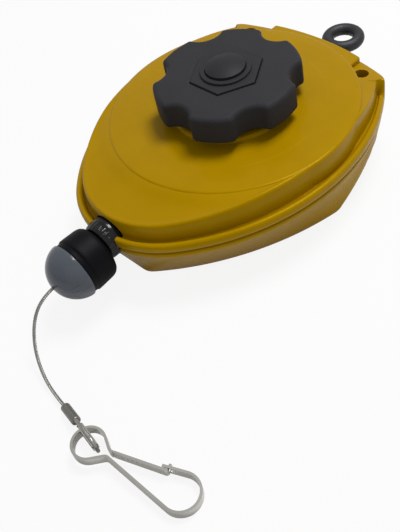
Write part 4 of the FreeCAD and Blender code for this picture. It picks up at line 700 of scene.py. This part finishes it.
def suspension_eye():
    """The forged eye: its ring lies flat, and its stem runs through the bush into the casing."""
    around = np.linspace(0, 2 * math.pi, 96, endpoint=False)
    bar = np.linspace(0, 2 * math.pi, 32, endpoint=False)
    centre = EYE_FAR - EYE_RING - EYE_BAR
    reach = EYE_RING + EYE_BAR * np.cos(bar)
    rings = [np.column_stack([reach * math.cos(a), centre + reach * math.sin(a),
                              AXIS_HEIGHT + EYE_BAR * np.sin(bar)]) for a in around]
    ring = ring_mesh("eye_ring", rings[::-1], LOOKS["forged_steel"])
    profile = [(3.3, 50.75), (3.6, 51.05), (3.6, 66.05), (5.2, 66.05), (5.4, 66.2), (5.4, 67.2), (5.2, 67.45),
               (4.9, 67.5), (3.7, 70.6), (3.5, 72.0), (3.3, 74.5), (3.05, 76.8), (2.75, 78.2), (2.2, 79.3),
               (1.4, 80.0), (0.4, 80.4)]
    stem = ring_mesh("eye_stem", turned_rings([(r, -y) for r, y in profile], AXIS_HEIGHT, count=64),
                     LOOKS["forged_steel"], loop_back=False)
    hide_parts("suspension_eye")
    for obj in (ring, stem):
        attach(obj, "eye")


LEAD_RADIUS = 0.78


def lead_height(y):
    """Height of the cable's line between the nozzle and the bumper."""
    return float(np.interp(-y, (93.0, 96.0, 101.0), (AXIS_HEIGHT, 25.4, 24.4)))


def lead():
    """Cable that follows the stop out of the nozzle when it is pulled."""
    rings = [turned_rings([(LEAD_RADIUS, -y)], lead_height(y), count=12)[0] for y in (-101.0, -98.0, -92.0, -86.0)]
    obj = ring_mesh("cable_lead", rings, LOOKS["steel_rope"], loop_back=False)
    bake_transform(obj)


# Widths of the bevels on solids that are shown as they are, in millimetres

SOFT_EDGES = {
    "knob_hub": 0.35, "release_button": 0.3, "snap_hook": 0.22, "hook_gate": 0.2, "stop_half_upper": 0.18,
    "stop_half_lower": 0.18, "crimp_ferrule": 0.25, "thimble": 0.12, "front_bush": 0.2,
}


def soften_edges():
    for name, width in SOFT_EDGES.items():
        soften(frame["nodes"][name], width, 3, 38)


# Studio

FLOOR_HALF = 6.0
LIGHT_TARGET = (0, -0.02, 0.03)
LAMPS = [("overhead", (0.06, 0.27, 0.78), 0.30, 4.9), ("fill", (0.75, -0.75, 0.45), 1.3, 0.8)]


def combined(tree, operation, first, second):
    """Output of a maths node; second is an output of another node or a number."""
    node = tree.nodes.new("ShaderNodeMath")
    node.operation = operation
    tree.links.new(first, node.inputs[0])
    if isinstance(second, float):
        node.inputs[1].default_value = second
    else:
        tree.links.new(second, node.inputs[1])
    return node.outputs["Value"]


def seen_as_white(tree, plain, white, whole, mirrored, surface):
    """White where the camera sees it, fainter in mirror images, and plain for all other light."""
    path = tree.nodes.new("ShaderNodeLightPath")
    glossy = combined(tree, "MULTIPLY", path.outputs["Is Glossy Ray"], mirrored)
    seen = combined(tree, "MAXIMUM", path.outputs["Is Camera Ray"], glossy)
    seen = combined(tree, "MAXIMUM", seen, path.outputs["Is Transmission Ray"])
    blend = tree.nodes.new("ShaderNodeMixShader")
    tree.links.new(combined(tree, "MULTIPLY", seen, whole), blend.inputs[0])
    tree.links.new(plain, blend.inputs[1])
    tree.links.new(white, blend.inputs[2])
    tree.links.new(blend.outputs["Shader"], surface)


def floor():
    h = FLOOR_HALF
    ground = bpy.data.meshes.new("floor")
    ground.from_pydata([(-h, -h, 0), (h, -h, 0), (h, h, 0), (-h, h, 0)], [], [(0, 1, 2, 3)])
    mat = bpy.data.materials.new("studio_floor")
    mat.use_nodes = True
    nodes = mat.node_tree.nodes
    plain = nodes["Principled BSDF"]
    plain.inputs["Base Color"].default_value = (0.8, 0.8, 0.8, 1)
    plain.inputs["Roughness"].default_value = 0.9
    plain.inputs["Specular IOR Level"].default_value = 0.1
    white = nodes.new("ShaderNodeEmission")
    white.inputs["Color"].default_value = (1, 1, 1, 1)
    seen_as_white(mat.node_tree, plain.outputs["BSDF"], white.outputs["Emission"], 0.88, 0.2,
                  nodes["Material Output"].inputs["Surface"])
    link("floor", ground, mat)


def studio():
    floor()
    world = bpy.data.worlds.new("studio")
    bpy.context.scene.world = world
    world.use_nodes = True
    nodes = world.node_tree.nodes
    soft, white = nodes["Background"], nodes.new("ShaderNodeBackground")
    for shade, strength in ((soft, 0.36), (white, 1.0)):
        shade.inputs["Color"].default_value = (1, 1, 1, 1)
        shade.inputs["Strength"].default_value = strength
    seen_as_white(world.node_tree, soft.outputs["Background"], white.outputs["Background"], 1.0, 0.3,
                  nodes["World Output"].inputs["Surface"])
    for name, place, size, power in LAMPS:
        data = bpy.data.lights.new(name, "AREA")
        data.size = size
        data.energy = power
        obj = bpy.data.objects.new(name, data)
        bpy.context.scene.collection.objects.link(obj)
        obj.location = place
        aim = Vector(LIGHT_TARGET) - Vector(place)
        obj.rotation_euler = aim.to_track_quat("-Z", "Y").to_euler()


camera()
dress_nodes()
free_cable()
front_casing()
front_disc()
top_block()
rear_casing()
knob()
nozzle()
bumper()
suspension_eye()
lead()
soften_edges()
studio()

scene = bpy.context.scene
scene.view_settings.view_transform = "Standard"
